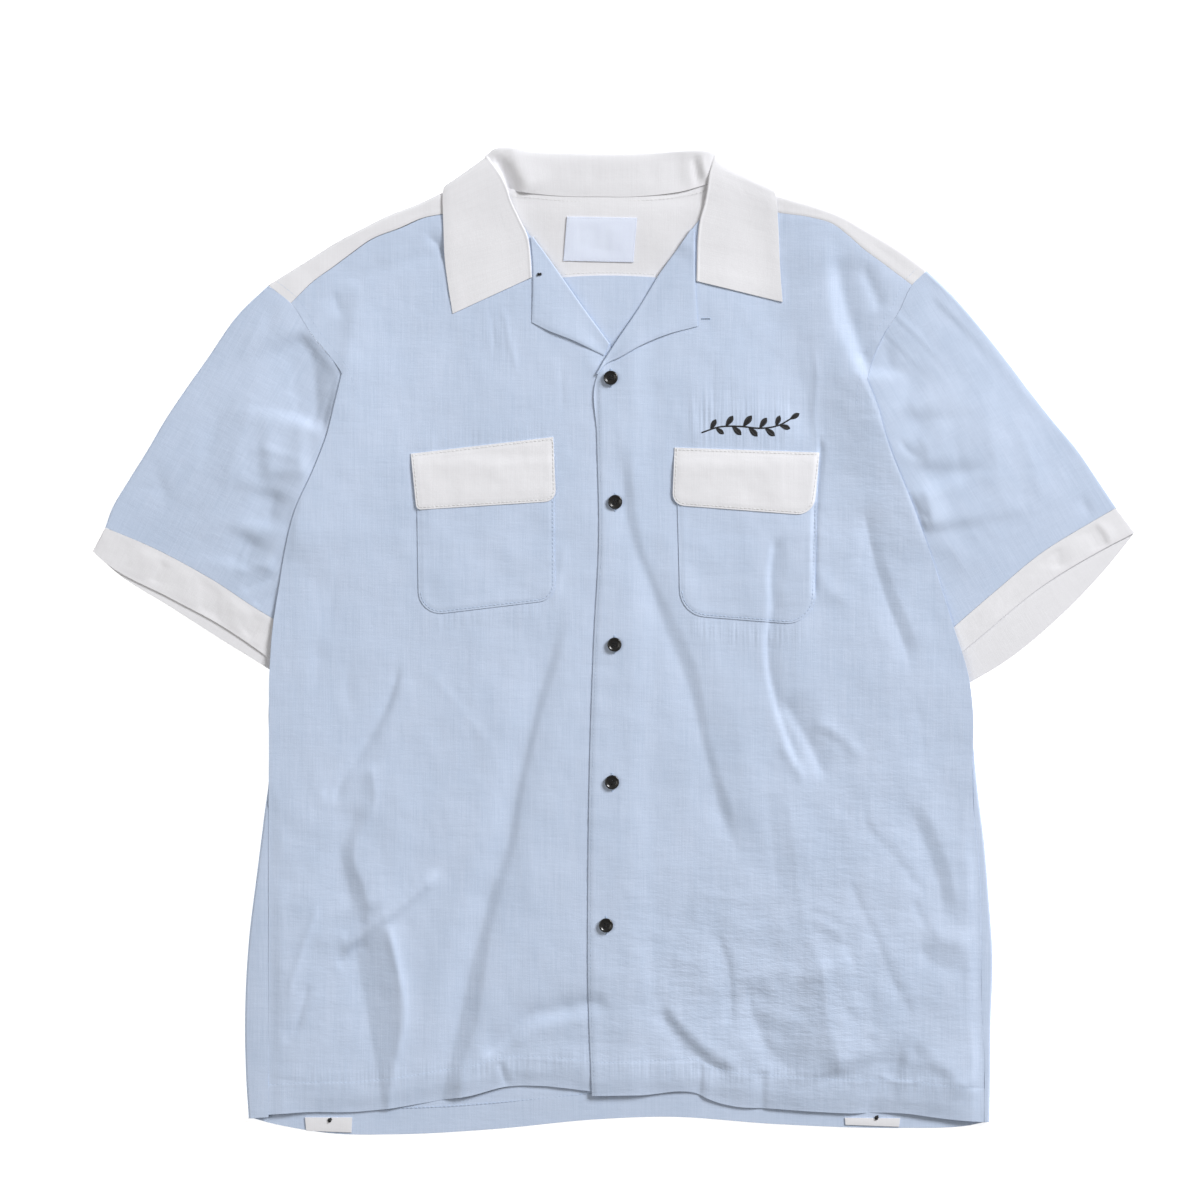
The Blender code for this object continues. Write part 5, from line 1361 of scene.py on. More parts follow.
def patch(node, corners, surface, slot, edge, grooved=True, thickness=CLOTH):
    """A sewn-on piece: its four sides filled with cells, lying on a surface, its edge drawn down to it.

    grooved sinks the line of its edge stitches.
    """
    arcs = rounded(corners)
    outline = np.concatenate(arcs)
    upper_left, upper_right, lower_right, lower_left = arcs
    half_right = len(lower_right) // 2
    half_left = len(lower_left) // 2
    bottom = np.concatenate([lower_left[: half_left + 1][::-1], lower_right[half_right:][::-1]])
    right = np.concatenate([lower_right[: half_right + 1][::-1], upper_right[:1]])
    rows = max(PATCH_LEAST_ROWS, round(PATCH_COLUMNS * np.ptp(outline[:, 1]) / np.ptp(outline[:, 0])))
    plan = between(
        spaced(bottom, PATCH_COLUMNS),
        spaced(np.stack([upper_left[-1], upper_right[0]]), PATCH_COLUMNS),
        spaced(np.concatenate([lower_left[half_left:], upper_left[:1]]), rows),
        spaced(right, rows),
    )
    x = plan[..., 0]
    y = plan[..., 1]
    inside = to_outline(x, y, outline)
    height = surface(x, y) + waviness("patch", x, y) * eased(inside, "patch waves")
    height = height - edge * (1 - eased(inside, "patch edge"))
    if grooved:
        depth, from_edge, half_width = PATCH_STITCH
        height = height - depth * bell(inside - from_edge, half_width)
    shell(node, lifted(plan, height), slot, thickness=thickness)


# ---------------------------------------------------------------- pieces


def front_surface(x, y, side):
    """A front's middle surface with its hem turned up and sunk at its seams."""
    up = y - hem_y(SHIRT[side]["hem"], x)
    from_stitches = up - HEM_RISE[side]
    depth, half_width = HEM_STITCH
    height = cloth_height(x, y, side) + HEM_STEP * (1 - eased(from_stitches, "hem stitches, up"))
    height = height - depth * bell(from_stitches, half_width)
    out = np.abs(x) - abs(SHIRT[side]["outer"][0][0])
    height = height - HEM_DROP * (1 - eased(up, "hem corner, up")) * (1 - eased(out, "hem corner, out"))
    if side == "left":
        height = height - ditch(x, y, PLACKET_EDGE, *PLACKET_DITCH)
    return height - ditch(x, y, SHIRT[side]["yoke seam"])


def make_front(side):
    """A front panel from its inner edge to the side seam and the armhole."""
    cut = SHIRT[side]
    armhole = refined(cut["armhole"], SLEEVE_COLUMNS)
    climb = armhole[SLEEVE_COLUMNS : SLEEVE_COLUMNS * (cut["yoke end"] + 1) + 1][::-1]
    outer = refined(cut["outer"])
    climb_rows = round(FRONT_ROWS * run_of(climb)[-1] / (run_of(climb)[-1] + run_of(outer)[-1]))
    plan = between(
        even(cut["hem"] if side == "left" else cut["hem"][::-1], FRONT_COLUMNS),
        even(cut["yoke seam"][::-1], FRONT_COLUMNS),
        stepped(refined(cut["inner"]), FRONT_ROWS),
        np.concatenate([stepped(outer, FRONT_ROWS - climb_rows + 1)[:-1], spaced(climb, climb_rows)]),
    )
    plan = trimmed(plan, last_row=SEAM_GAP, last_column=SEAM_GAP)
    x = plan[..., 0]
    y = plan[..., 1]
    grid = lifted(plan, FRONTS[side](x, y))
    shell("front_" + side, grid, "shirt_cloth", rumple=rumpled(x, y), gather=gathered(x, y))


def yoke_end(side):
    """Where the yoke's back seam meets an armhole."""
    return YOKE_BACK_SEAM[0 if side == "right" else -1]


def back_edge(side):
    """The back's side from hem to yoke: side fold, underarm and armhole."""
    cut = SHIRT[side]
    armhole = refined(cut["armhole"], SLEEVE_COLUMNS)[SLEEVE_COLUMNS * cut["yoke end"] :][::-1].copy()
    armhole[-1] = yoke_end(side)
    return spaced(np.concatenate([refined(cut["side"]), armhole]), BACK_ROWS)


def back_wrap(side, edge, inside):
    """The columns that carry the back round one side to its side seam."""
    up = edge[:, 1] - WRAP_TOP[side]
    radius = WRAP_RADIUS * (1 - WRAP_NARROWING * eased(up, "wrap narrows, up"))
    to_seam = np.abs(edge[:, 0] - side_seam_x(side, edge[:, 1]))
    extra, least, growth = WRAP_TAIL
    tail = extra + np.maximum(to_seam - WRAP_RADIUS - 0.5 * CLOTH - SEAM_GAP, least)
    tail = tail + growth * eased(up, "wrap tail grows, up")
    amount = 1 - eased(up, "wrap flattens, up")
    return curled(edge, outward(edge, inside), TABLE_LAYER, radius[:, None], amount, tail)


def make_back():
    """The back lies on the table and wraps up round both sides to the side seams."""
    hem = even(BACK_HEM, BACK_COLUMNS)
    plan = between(hem, even(YOKE_BACK_SEAM, BACK_COLUMNS), back_edge("right"), back_edge("left"))
    plan = trimmed(plan, last_row=SEAM_GAP, first_column=SEAM_GAP, last_column=SEAM_GAP)
    right = back_wrap("right", plan[:, 0], plan[:, WRAP_COLUMNS])
    left = back_wrap("left", plan[:, -1], plan[:, -WRAP_COLUMNS - 1])
    x = plan[..., 0]
    y = plan[..., 1]
    lift = np.clip(BACK_LIFT + waviness("back", x, y), 0, 1)
    lift = lift * eased(y - hem_y(BACK_HEM, x), "back waves, up")
    middle_x, middle_y, reach_x, reach_y = NECK_HOLLOW
    open_neck = np.exp(-(((x - middle_x) / reach_x) ** 2) - ((y - middle_y) / reach_y) ** 2)
    lift = lift * (1 - NECK_HOLLOW_CALM * open_neck) + NECK_HOLLOW_LIFT * open_neck
    panel = lifted(plan, TABLE_LAYER + lift)[:, WRAP_COLUMNS:-WRAP_COLUMNS]
    shell("back", np.concatenate([right[:, ::-1], panel, left], axis=1), "shirt_cloth")


def yoke_floor(x, y):
    """The yoke lies on the table, and on the collar's fall where that hangs behind the neck."""
    from_middle = np.abs(np.asarray(x, float) - NECK_MIDDLE)
    on_fall = (1 - eased(from_middle, "off the fall, x")) * eased(y, "onto the fall, y")
    neck = eased(y, "neck rise, y") * (1 - eased(from_middle, "neck rise, x"))
    return TABLE_LAYER + np.maximum(YOKE_OVER_FALL * on_fall, NECK_RISE * neck)


def yoke_turn(base, strip_end):
    """Rows that carry the yoke from its ridge round the shoulder's fold and down to the front seams.

    They come with the place on the plan, level with the fold, where each column's turn ends.
    """
    radius = np.maximum((cloth_height(base[:, 0], base[:, 1]) - base[:, 2]) / 2, YOKE_LEAST_RADIUS)
    down = strip_end - base[:, :2]
    length = np.linalg.norm(down, axis=1)
    down /= np.maximum(length, 1e-6)[:, None]
    rows = []
    for angle in np.linspace(0, math.pi, TURN_STEPS + 1)[1:]:
        flat = base[:, :2] + down * (radius * (1 - math.sin(angle)))[:, None]
        rows.append(lifted(flat, base[:, 2] + radius * (1 - math.cos(angle))))
    start = base[:, :2] + down * radius[:, None]
    for share in np.linspace(0, 1, STRIP_ROWS + 1)[1:]:
        flat = start + (strip_end - down * SEAM_GAP - start) * share
        on_front = eased(share, "yoke turn to front")
        level = cloth_height(flat[:, 0], flat[:, 1]) * on_front + (base[:, 2] + 2 * radius) * (1 - on_front)
        rows.append(lifted(flat, level - DITCH_DEPTH * bell((1 - share) * length, DITCH_WIDTH)))
    return np.stack(rows), start


def make_yoke():
    """One panel from the back seam over both shoulders, open round the neck."""
    neck = even(NECK_SEAM, NECK_COLUMNS)[1:-1] + (0, YOKE_UNDER_COLLAR)

    def round_neck(seam):
        right, left = (even(SHIRT[side][seam], STRIP_COLUMNS + 1) for side in ("right", "left"))
        return np.concatenate([right, neck, left[::-1]])

    ridge = round_neck("shoulder")
    count = len(ridge)
    sides = []
    for side in ("right", "left"):
        armhole = refined(SHIRT[side]["armhole"], SLEEVE_COLUMNS)
        armhole = armhole[: SLEEVE_COLUMNS * SHIRT[side]["yoke end"] + 1][::-1].copy()
        armhole[0] = yoke_end(side)
        sides.append(spaced(armhole, YOKE_ROWS))
    plan = between(even(YOKE_BACK_SEAM, count), ridge, *sides)
    plan = trimmed(plan, first_row=SEAM_GAP, first_column=SEAM_GAP, last_column=SEAM_GAP)
    x = plan[..., 0]
    y = plan[..., 1]
    soft = np.clip(waviness("yoke", x, y), *YOKE_WAVES) + crease_height(x, y, YOKE_CREASES, crisp=False)
    height = yoke_floor(x, y) + soft * eased(y, "yoke waves, y")
    floor = lifted(plan, np.maximum(height, TABLE_LAYER))
    turn, start = yoke_turn(floor[-1], round_neck("yoke seam"))
    folded = np.abs(np.arange(count) - (count - 1) / 2) >= (count - 1) / 2 - STRIP_COLUMNS
    step = floor[-2] - floor[-1]
    inner = floor[-1] + step * BORDER / np.linalg.norm(step, axis=1)[:, None]
    floor[-1, folded, :2] = start[folded]
    inner[folded] = (0.5 * (floor[-1] + floor[-2]))[folded]
    grid = np.concatenate([floor[:-1], inner[None], floor[-1:], turn])
    keep = np.ones((len(grid) - 1, count - 1), bool)
    keep[len(floor) :, STRIP_COLUMNS : count - 1 - STRIP_COLUMNS] = False
    shell("yoke", grid, "contrast_cloth", keep=keep)


def flat_tube(top, bottom, top_height):
    """Rings of a tube pressed flat: over the top, round one fold, back underneath, round the other."""
    folds = []
    for end, inside in ((-1, -3), (0, 2)):
        line = (top[:, end] + bottom[:, end]) / 2
        away = outward(line, (top[:, inside] + bottom[:, inside]) / 2)
        radius = (top_height[:, end] - TABLE_LAYER) / 2
        inset_by = radius + 0.5 * CLOTH
        columns = []
        for angle in np.linspace(math.pi / 2, -math.pi / 2, TURN_STEPS + 1):
            share = (1 - math.sin(angle)) / 2
            edge = top[:, end] * (1 - share) + bottom[:, end] * share
            flat = edge - away * (inset_by - radius * math.cos(angle))[:, None]
            columns.append(lifted(flat, TABLE_LAYER + radius * (1 + math.sin(angle))))
        folds.append(np.stack(columns, axis=1))
    over = lifted(top[:, 2:-2], top_height[:, 2:-2])
    under = lifted(bottom[:, 2:-2], TABLE_LAYER)
    return np.concatenate([over, folds[0], under[:, ::-1], folds[1][:, ::-1]], axis=1)


def armhole_height(side, armhole):
    """A sleeve's height along its seam, which dips under the front's edge towards the underarm."""
    dip = SHIRT[side]["sleeve dip"]
    knot = np.arange(len(armhole)) / SLEEVE_COLUMNS
    seam = cloth_height(armhole[:, 0], armhole[:, 1], side) - np.interp(knot, np.arange(len(dip)), dip)
    seam = seam - (seam - SLEEVE_FOLD) * smoothstep(knot, len(dip) - 1, len(dip))
    return np.maximum(seam, SLEEVE_FOLD)


def sleeve_height(side, plan, armhole):
    """The top layer of a sleeve: loose between its folds, and low where the front's edge lies on it."""
    x = plan[..., 0]
    y = plan[..., 1]
    down = np.linspace(0, 1, SLEEVE_ROWS)[:, None]
    across = np.linspace(0, 1, len(armhole))[None]
    bulge = np.sin(math.pi * across)
    belly = bulge**SLEEVE_ROUNDNESS * np.sin(math.pi * down) * (1 - eased(across, "belly to the underarm"))
    loose = bulge**0.5 * eased(down, "loose after the armhole") * (1 - eased(down, "tight at the cuff"))
    over_fold = armhole_height(side, armhole)[None] - SLEEVE_FOLD
    height = SLEEVE_FOLD + over_fold * (1 - eased(down, "down from the armhole")) + SLEEVE_BELLY * belly
    height = height + waviness("sleeve", x, y) * loose * (1 - eased(down, "sleeve waves end"))
    seam_x = side_seam_x(side, y)
    outside = np.abs(x) - np.abs(seam_x)
    above_corner = eased(y - SHIRT[side]["outer"][-1][1], "above the armhole corner")
    clear = np.maximum(eased(outside, "sleeve clear of the front"), above_corner)
    creased = np.maximum(eased(outside, "sleeve creases beside the front"), above_corner)
    near_front = eased(outside, "sleeve under the front") * (1 - eased(outside, "sleeve off the front"))
    near_front = near_front * eased(y, "sleeve beside the front, y")
    under_front = FRONTS[side](seam_x, y) - CLOTH - SLEEVE_UNDER_FRONT
    level = SLEEVE_FOLD + np.maximum(under_front - SLEEVE_FOLD, 0) * near_front
    height = level + np.maximum(height - level, 0) * clear
    from_fold = eased(np.linalg.norm(plan - plan[:, :1], axis=2), "sleeve from its fold")
    height = height + crease_height(x, y, SLEEVE_CREASES) * loose * creased * from_fold
    height = np.maximum(height, SLEEVE_FOLD - SLEEVE_SINK * from_fold)
    return height - (FOLD_HEIGHT - CUFF_HEIGHT) * eased(down, "down to the cuff")


def make_sleeve(side):
    """A sleeve pressed flat; its seam lies under the front's edge and on the back's."""
    cut = SHIRT[side]
    armhole = refined(cut["armhole"], SLEEVE_COLUMNS)
    cuff = even(cut["cuff seam"], len(armhole))
    plan = between(armhole, cuff, even(cut["sleeve fold"], SLEEVE_ROWS), even(cut["underarm"], SLEEVE_ROWS))
    plan = trimmed(plan, first_row=SEAM_GAP, last_row=SEAM_GAP)
    rings = flat_tube(plan, plan, sleeve_height(side, plan, armhole))
    shell("sleeve_" + side, rings, "shirt_cloth", grain=turned(rings, SLEEVE_SLANT[side]), closed=True)


def make_cuff(side):
    """A deep cuff pressed flat; its under layer may reach past the upper one."""
    cut = SHIRT[side]
    seam = even(cut["cuff seam"], CUFF_COLUMNS)
    fold = even(cut["cuff fold"], CUFF_ROWS)
    layers = []
    for free in ("cuff top", "cuff bottom"):
        end = even(cut[free], CUFF_COLUMNS)
        layer = between(seam, end, fold, even((seam[-1], end[-1]), CUFF_ROWS))
        layers.append(trimmed(layer, first_row=SEAM_GAP))
    top, bottom = layers
    x = top[..., 0]
    y = top[..., 1]
    down = np.linspace(0, 1, CUFF_ROWS)[:, None]
    across = np.linspace(0, 1, CUFF_COLUMNS)[None]
    loose = eased(down, "cuff waves start") * (1 - eased(down, "cuff waves end"))
    loose = loose * np.sin(math.pi * across) ** 0.5
    soft = np.clip(waviness("cuff", x, y) + crease_height(x, y, CUFF_CREASES), *CUFF_WAVES)
    height = TABLE_LAYER + CUFF_HEIGHT - (CUFF_HEIGHT - CUFF_OPENING[side]) * eased(down, "cuff opens")
    rings = flat_tube(top, bottom, height + soft * loose)
    shell("cuff_" + side, rings, "contrast_cloth", grain=turned(rings, SLEEVE_SLANT[side]), closed=True)


def make_lapel(side):
    """The facing from the front's rolled edge out to the lapel's free edge, lying on the front."""
    cut = SHIRT[side]
    roll = even(cut["lapel roll"], LAPEL_ROWS)
    lower_rows = LAPEL_ROWS * 2 // 3
    lower = even(cut["lapel edge"], lower_rows)
    free = np.concatenate([lower, even(cut["lapel side"], LAPEL_ROWS - lower_rows + 1)[1:]])
    inward = outward(roll, free)
    base = front_height(roll[:, 0], roll[:, 1], side)
    place = np.linspace(0, 1, LAPEL_ROWS)
    lifting = LAPEL_LIFT * eased(place, "lapel lifts") * (1 - eased(place, "lapel lies again"))
    columns = []
    for angle in np.linspace(0, math.pi, TURN_STEPS):
        flat = roll + inward * (3 * SEAM_GAP + ROLLED_EDGE * math.sin(angle))
        columns.append(lifted(flat, base + ROLLED_EDGE * (1 - math.cos(angle))))
    for share in np.linspace(0, 1, LAPEL_COLUMNS)[1:]:
        flat = roll + (free - roll) * share
        x = flat[:, 0]
        y = flat[:, 1]
        height = front_height(x, y, side) + 2 * ROLLED_EDGE + lifting * eased(share, "lapel lifts outwards")
        height = height + waviness("lapel", x, y) * math.sin(math.pi * share)
        columns.append(lifted(flat, height - LAPEL_EDGE_DROP * eased(share, "lapel edge")))
    shell("facing_" + side, np.stack(columns, axis=1), "shirt_cloth")


def flat_unit(vector):
    """The direction of a vector on the plan."""
    across = np.array([vector[0], vector[1], 0.0])
    return across / max(np.linalg.norm(across), 1e-9)


def collar_section(seam, crown, swing, edge):
    """Points of one collar section: up the stand, round the roll and down the fall."""
    turn = math.radians(swing)
    radius = COLLAR_ROLL + (COLLAR_OPEN_ROLL - COLLAR_ROLL) * (1 - float(eased(swing, "collar roll presses")))
    on_front = level_at(front_height, *crown[:2]) + STAND_REST
    on_edge = level_at(front_height, *edge[:2]) + COLLAR_REST
    resting = ((seam, on_front), (crown, on_front + radius), (edge, on_edge))
    seam, crown, edge = (np.array([x, y, rest if z is None else z], float) for (x, y, z), rest in resting)
    up = flat_unit(crown - seam)
    fall_way = edge - crown
    side = flat_unit(fall_way - up * (fall_way @ up))
    out = np.array([0, 0, -math.cos(turn)]) + side * math.sin(turn)
    out /= np.linalg.norm(out)
    if swing > LEAF_SWING:
        up = flat_unit(crown - edge)
    reach = radius * (1 - ROLL_PRESSED * float(eased(swing, "roll flattens")))
    middle = crown - up * reach
    stand_end = middle - out * radius
    half_way = HALF_WAY if np.linalg.norm(stand_end - seam) > SHORT_STAND else SHORT_HALF_WAY
    points = [seam, seam * (1 - half_way) + stand_end * half_way]
    for angle in np.linspace(0, math.pi, ROLL_POINTS):
        points.append(middle - out * radius * math.cos(angle) + up * reach * math.sin(angle))
    fall = points[-1]
    for share in FALL_PLACES:
        point = fall + (edge - fall) * share
        if swing > LYING_SWING:
            lift = fall[2] - level_at(front_height, *fall[:2]) - COLLAR_REST
            rest = level_at(front_height, *point[:2]) + COLLAR_REST
            point[2] = rest + lift * (1 - share) ** 2
        elif swing < HANGING_SWING:
            soon, steep = FALL_DROP
            point[2] = edge[2] + (fall[2] - edge[2]) * max(0.0, 1 - soon * share) ** steep
        points.append(point)
    return np.array(points)


def make_collar():
    """The stand and fall in one, refined both ways from its sections."""
    coarse = np.stack([collar_section(*section) for section in COLLAR])
    along = np.stack([refined(coarse[:, k], COLLAR_ROWS) for k in range(coarse.shape[1])], axis=1)
    grid = np.stack([refined(row, COLLAR_COLUMNS) for row in along])
    neck = run_of(grid[:, grid.shape[1] // 2])
    across = np.stack([run_of(row) for row in grid])
    grain = np.stack([np.broadcast_to(neck[:, None], across.shape), across], axis=-1)
    x, y, z = np.moveaxis(grid, -1, 0)
    z += waviness("collar", grain[..., 0], grain[..., 1])
    behind = eased(y[:, 0], "behind the neck, y")
    stand = slice(0, STAND_POINTS + 1)
    share = np.linspace(0, 1, STAND_POINTS + 1)[None]
    foot = yoke_floor(x[:, :1], y[:, :1]) + NECK_LIFT
    arched = foot + (z[:, STAND_POINTS, None] - foot) * (1 - (1 - share) ** STAND_ARCH)
    z[:, stand] += (arched - z[:, stand]) * behind[:, None]
    in_stand = 1 - eased(np.arange(grid.shape[1]) - STAND_POINTS, "stand to roll")
    z += crease_height(x, y, COLLAR_CREASES) * in_stand
    y[:, 0] -= STAND_FOOT_TUCK * behind
    for column, drop in enumerate(STAND_FOOT):
        z[:, column] -= drop * behind
    lying = eased(z[:, -1], "fall lies on the fronts, z")
    for column, drop in enumerate(FALL_EDGE, start=1):
        z[:, -column] -= drop * lying
    for section, drop in COLLAR_ENDS:
        z[section] -= drop
    grid[..., 2] = np.maximum(z, TABLE_LAYER)
    shell("collar", grid, "contrast_cloth", grain=grain)


def flap_rest(y):
    """How high a flap lies over the front: more where the pocket lies under it."""
    return FLAP_REST + FLAP_ON_POCKET * (1 - eased(y, "off the pocket, y"))


def make_patches():
    """Pockets, flaps, neck label and the two tabs inside the back hem."""
    for side, front in FRONTS.items():
        patch(
            "pocket_" + side, POCKET[side], lambda x, y: front(x, y) + POCKET_REST, "shirt_cloth", POCKET_EDGE
        )
        patch(
            "flap_" + side, FLAP[side], lambda x, y: front(x, y) + flap_rest(y), "contrast_cloth", FLAP_EDGE
        )
        patch(
            "hem_tab_" + side,
            [(corner, 0) for corner in HEM_TAB[side]],
            lambda x, y: np.full(x.shape, TABLE_LAYER + TAB_REST),
            "contrast_cloth",
            TAB_EDGE,
            grooved=False,
        )
    patch(
        "label",
        [(corner, 0) for corner in LABEL],
        lambda x, y: yoke_floor(x, y) + LABEL_REST,
        "label_cloth",
        LABEL_EDGE,
        grooved=False,
        thickness=LABEL_THICKNESS,
    )


def turned_disc():
    """The button without its holes: its profile spun round, with a raised rim."""
    disc = bmesh.new()
    line = [disc.verts.new((radius * MM, 0, height * MM)) for radius, height in reversed(BUTTON_PROFILE)]
    edges = [disc.edges.new(pair) for pair in zip(line[:-1], line[1:])]
    whole_turn = {"cent": (0, 0, 0), "axis": (0, 0, 1), "angle": 2 * math.pi, "use_merge": True}
    bmesh.ops.spin(disc, geom=line + edges, steps=BUTTON_STEPS, **whole_turn)
    bmesh.ops.remove_doubles(disc, verts=disc.verts, dist=1e-6)
    bmesh.ops.recalc_face_normals(disc, faces=disc.faces)
    mesh = bpy.data.meshes.new("button_disc")
    disc.to_mesh(mesh)
    disc.free()
    return mesh


def button_drills():
    """Four cylinders where the button's holes are."""
    drills = bmesh.new()
    sizes = {"radius1": HOLE_RADIUS * MM, "radius2": HOLE_RADIUS * MM, "depth": HOLE_DEPTH * MM}
    for dx, dy in ((1, 1), (-1, 1), (-1, -1), (1, -1)):
        made = bmesh.ops.create_cone(drills, cap_ends=True, segments=HOLE_STEPS, **sizes)
        place = (HOLE_OFFSET * dx * MM, HOLE_OFFSET * dy * MM, 0)
        bmesh.ops.translate(drills, verts=made["verts"], vec=place)
    mesh = bpy.data.meshes.new("button_holes")
    drills.to_mesh(mesh)
    drills.free()
    return mesh


def button_mesh():
    """The turned disc with its four holes, its edges rounded."""
    whole = linked("button_disc", turned_disc())
    cutter = linked("button_holes", button_drills())
    cut = whole.modifiers.new("holes", "BOOLEAN")
    cut.operation = "DIFFERENCE"
    cut.object = cutter
    cut.solver = "EXACT"
    bpy.context.view_layer.update()
    depsgraph = bpy.context.evaluated_depsgraph_get()
    drilled = bpy.data.meshes.new_from_object(whole.evaluated_get(depsgraph))
    bpy.data.objects.remove(whole)
    bpy.data.objects.remove(cutter)
    drilled.shade_smooth()
    drilled.set_sharp_from_angle(angle=math.radians(BUTTON_SHARP))
    drilled.materials.clear()
    drilled.materials.append(MATERIALS["button_plastic"])
    return drilled


def thread_piece(name, strands, material):
    """Many short threads in one mesh: each strand is its two ends and how many threads thick it is."""
    points = []
    faces = []
    for first, last, thick in strands:
        first = np.array(first, float)
        last = np.array(last, float)
        run = last - first
        run /= max(np.linalg.norm(run), 1e-9)
        across = np.cross(run, (0, 0, 1))
        across /= max(np.linalg.norm(across), 1e-9)
        rise = np.cross(across, run)
        radius = thick * THREAD / 2
        start = len(points)
        end = start + 2 * THREAD_SIDES + 1
        points.append(first)
        for place in (first + run * radius * THREAD_TIP, last - run * radius * THREAD_TIP):
            for step in range(THREAD_SIDES):
                angle = 2 * math.pi * step / THREAD_SIDES
                points.append(place + radius * (across * math.cos(angle) + rise * math.sin(angle)))
        points.append(last)
        for step in range(THREAD_SIDES):
            a = start + 1 + step
            b = start + 1 + (step + 1) % THREAD_SIDES
            faces.append((start, b, a))
            faces.append((a, b, b + THREAD_SIDES, a + THREAD_SIDES))
            faces.append((a + THREAD_SIDES, b + THREAD_SIDES, end))
    return mesh_object(name, np.array(points), faces, MATERIALS[material])


def stitched(path, surface, length=STITCH_LENGTH, gap=STITCH_GAP, thick=1.0, above=0.5 * CLOTH):
    """Strands of a stitch line along a plan path, on the top face of a surface."""
    line = np.array(path, float)
    total = run_of(line)[-1]
    count = max(2, int(total // (length + gap)))
    pitch = total / count
    fine = spaced(line, count * 8 + 1)
    share = length / pitch
    starts = np.arange(count) * pitch
    ends = (np.arange(count) + share) * pitch
    flat = np.stack([along_line(fine, starts), along_line(fine, ends)], axis=1)
    height = surface(flat[..., 0], flat[..., 1]) + above - THREAD_BED
    return [((*a, z[0]), (*b, z[1]), thick) for (a, b), z in zip(flat, height)]


def closed_outline(corners):
    """The outline of a piece, with its first point again at the end."""
    outline = np.concatenate(rounded(corners))
    return np.concatenate([outline, outline[:1]])


def make_stitching():
    """Seam and edge stitches in the cloth's own colour, one mesh for each kind of thread."""
    blue = []
    white = []
    for side, cut in SHIRT.items():
        front = FRONTS[side]
        hem = even(cut["hem"], SEAM_POINTS["hem"])
        hem = hem[np.abs(hem[:, 0]) < HEM_STITCH_END] + (0, HEM_RISE[side])
        blue += stitched(hem, front)
        armhole = even(cut["armhole"][: cut["yoke end"] + 3], SEAM_POINTS["armhole"])
        armhole = armhole[armhole[:, 1] > ARMHOLE_STITCH_LOW]
        inward = (-1, 0) if side == "left" else (1, 0)
        armhole = armhole - outward(armhole, armhole + inward) * ARMHOLE_STITCH_IN
        blue += stitched(armhole[2:-3], front, thick=FINE_THREAD)
        pocket = inset(closed_outline(POCKET[side]), EDGE_STITCH_IN)[1:-1]
        blue += stitched(pocket, lambda x, y: front(x, y) + POCKET_STITCH_RISE)
        flap = inset(closed_outline(FLAP[side]), EDGE_STITCH_IN)
        white += stitched(flap, lambda x, y: front(x, y) + flap_rest(y) + FLAP_STITCH_RISE)
    placket = even(PLACKET_EDGE, SEAM_POINTS["placket"]) + (PLACKET_STITCH_IN, 0)
    blue += stitched(placket[2:], FRONTS["left"], thick=FINE_THREAD)
    hem = even(BACK_HEM, SEAM_POINTS["back hem"])[3:-3] + (0, BACK_HEM_STITCH_UP)
    blue += stitched(hem, lambda x, y: np.full(x.shape, TABLE_LAYER + BACK_HEM_STITCH_RISE))
    seam = even(YOKE_BACK_SEAM, SEAM_POINTS["yoke"]) + (0, YOKE_STITCH_UP)
    white += stitched(seam, lambda x, y: yoke_floor(x, y) + YOKE_STITCH_RISE)
    neck = even(NECK_SEAM, SEAM_POINTS["neck"])[6:-6] - (0, NECK_STITCH_DOWN)
    white += stitched(neck, lambda x, y: yoke_floor(x, y) + NECK_STITCH_RISE, thick=NECK_THREAD)
    label = inset(np.array(LABEL + LABEL[:1], float), LABEL_STITCH_IN)
    label = stitched(label, lambda x, y: yoke_floor(x, y) + LABEL_STITCH_RISE, **LABEL_STITCHES)
    thread_piece("stitches_blue", blue, "blue_thread")
    thread_piece("stitches_white", white, "white_thread")
    thread_piece("stitches_label", label, "label_thread")


def knot(x, y, z, wide, high, turn):
    """A small ball of thread: short strands across each other."""
    strands = []
    for number in range(KNOT_STRANDS):
        angle = turn + number * KNOT_TURN
        mean, change, pace = KNOT_REACH
        reach = mean + change * math.sin(number * pace + turn)
        dx = wide * reach * math.cos(angle)
        dy = high * reach * math.sin(angle)
        most, pace = KNOT_OFFSET
        off = most * math.sin(number * pace + turn)
        first = (x - dx + off, y - dy, z + KNOT_CLIMB[0] * number)
        last = (x + dx, y + dy + off, z + KNOT_CLIMB[1] * number)
        strands.append((first, last, KNOT_THREAD))
    return strands


def on_left_front(x, y, above=ON_CLOTH):
    """A place on the face of the left front."""
    return (x, y, level_at(FRONTS["left"], x, y) + above)


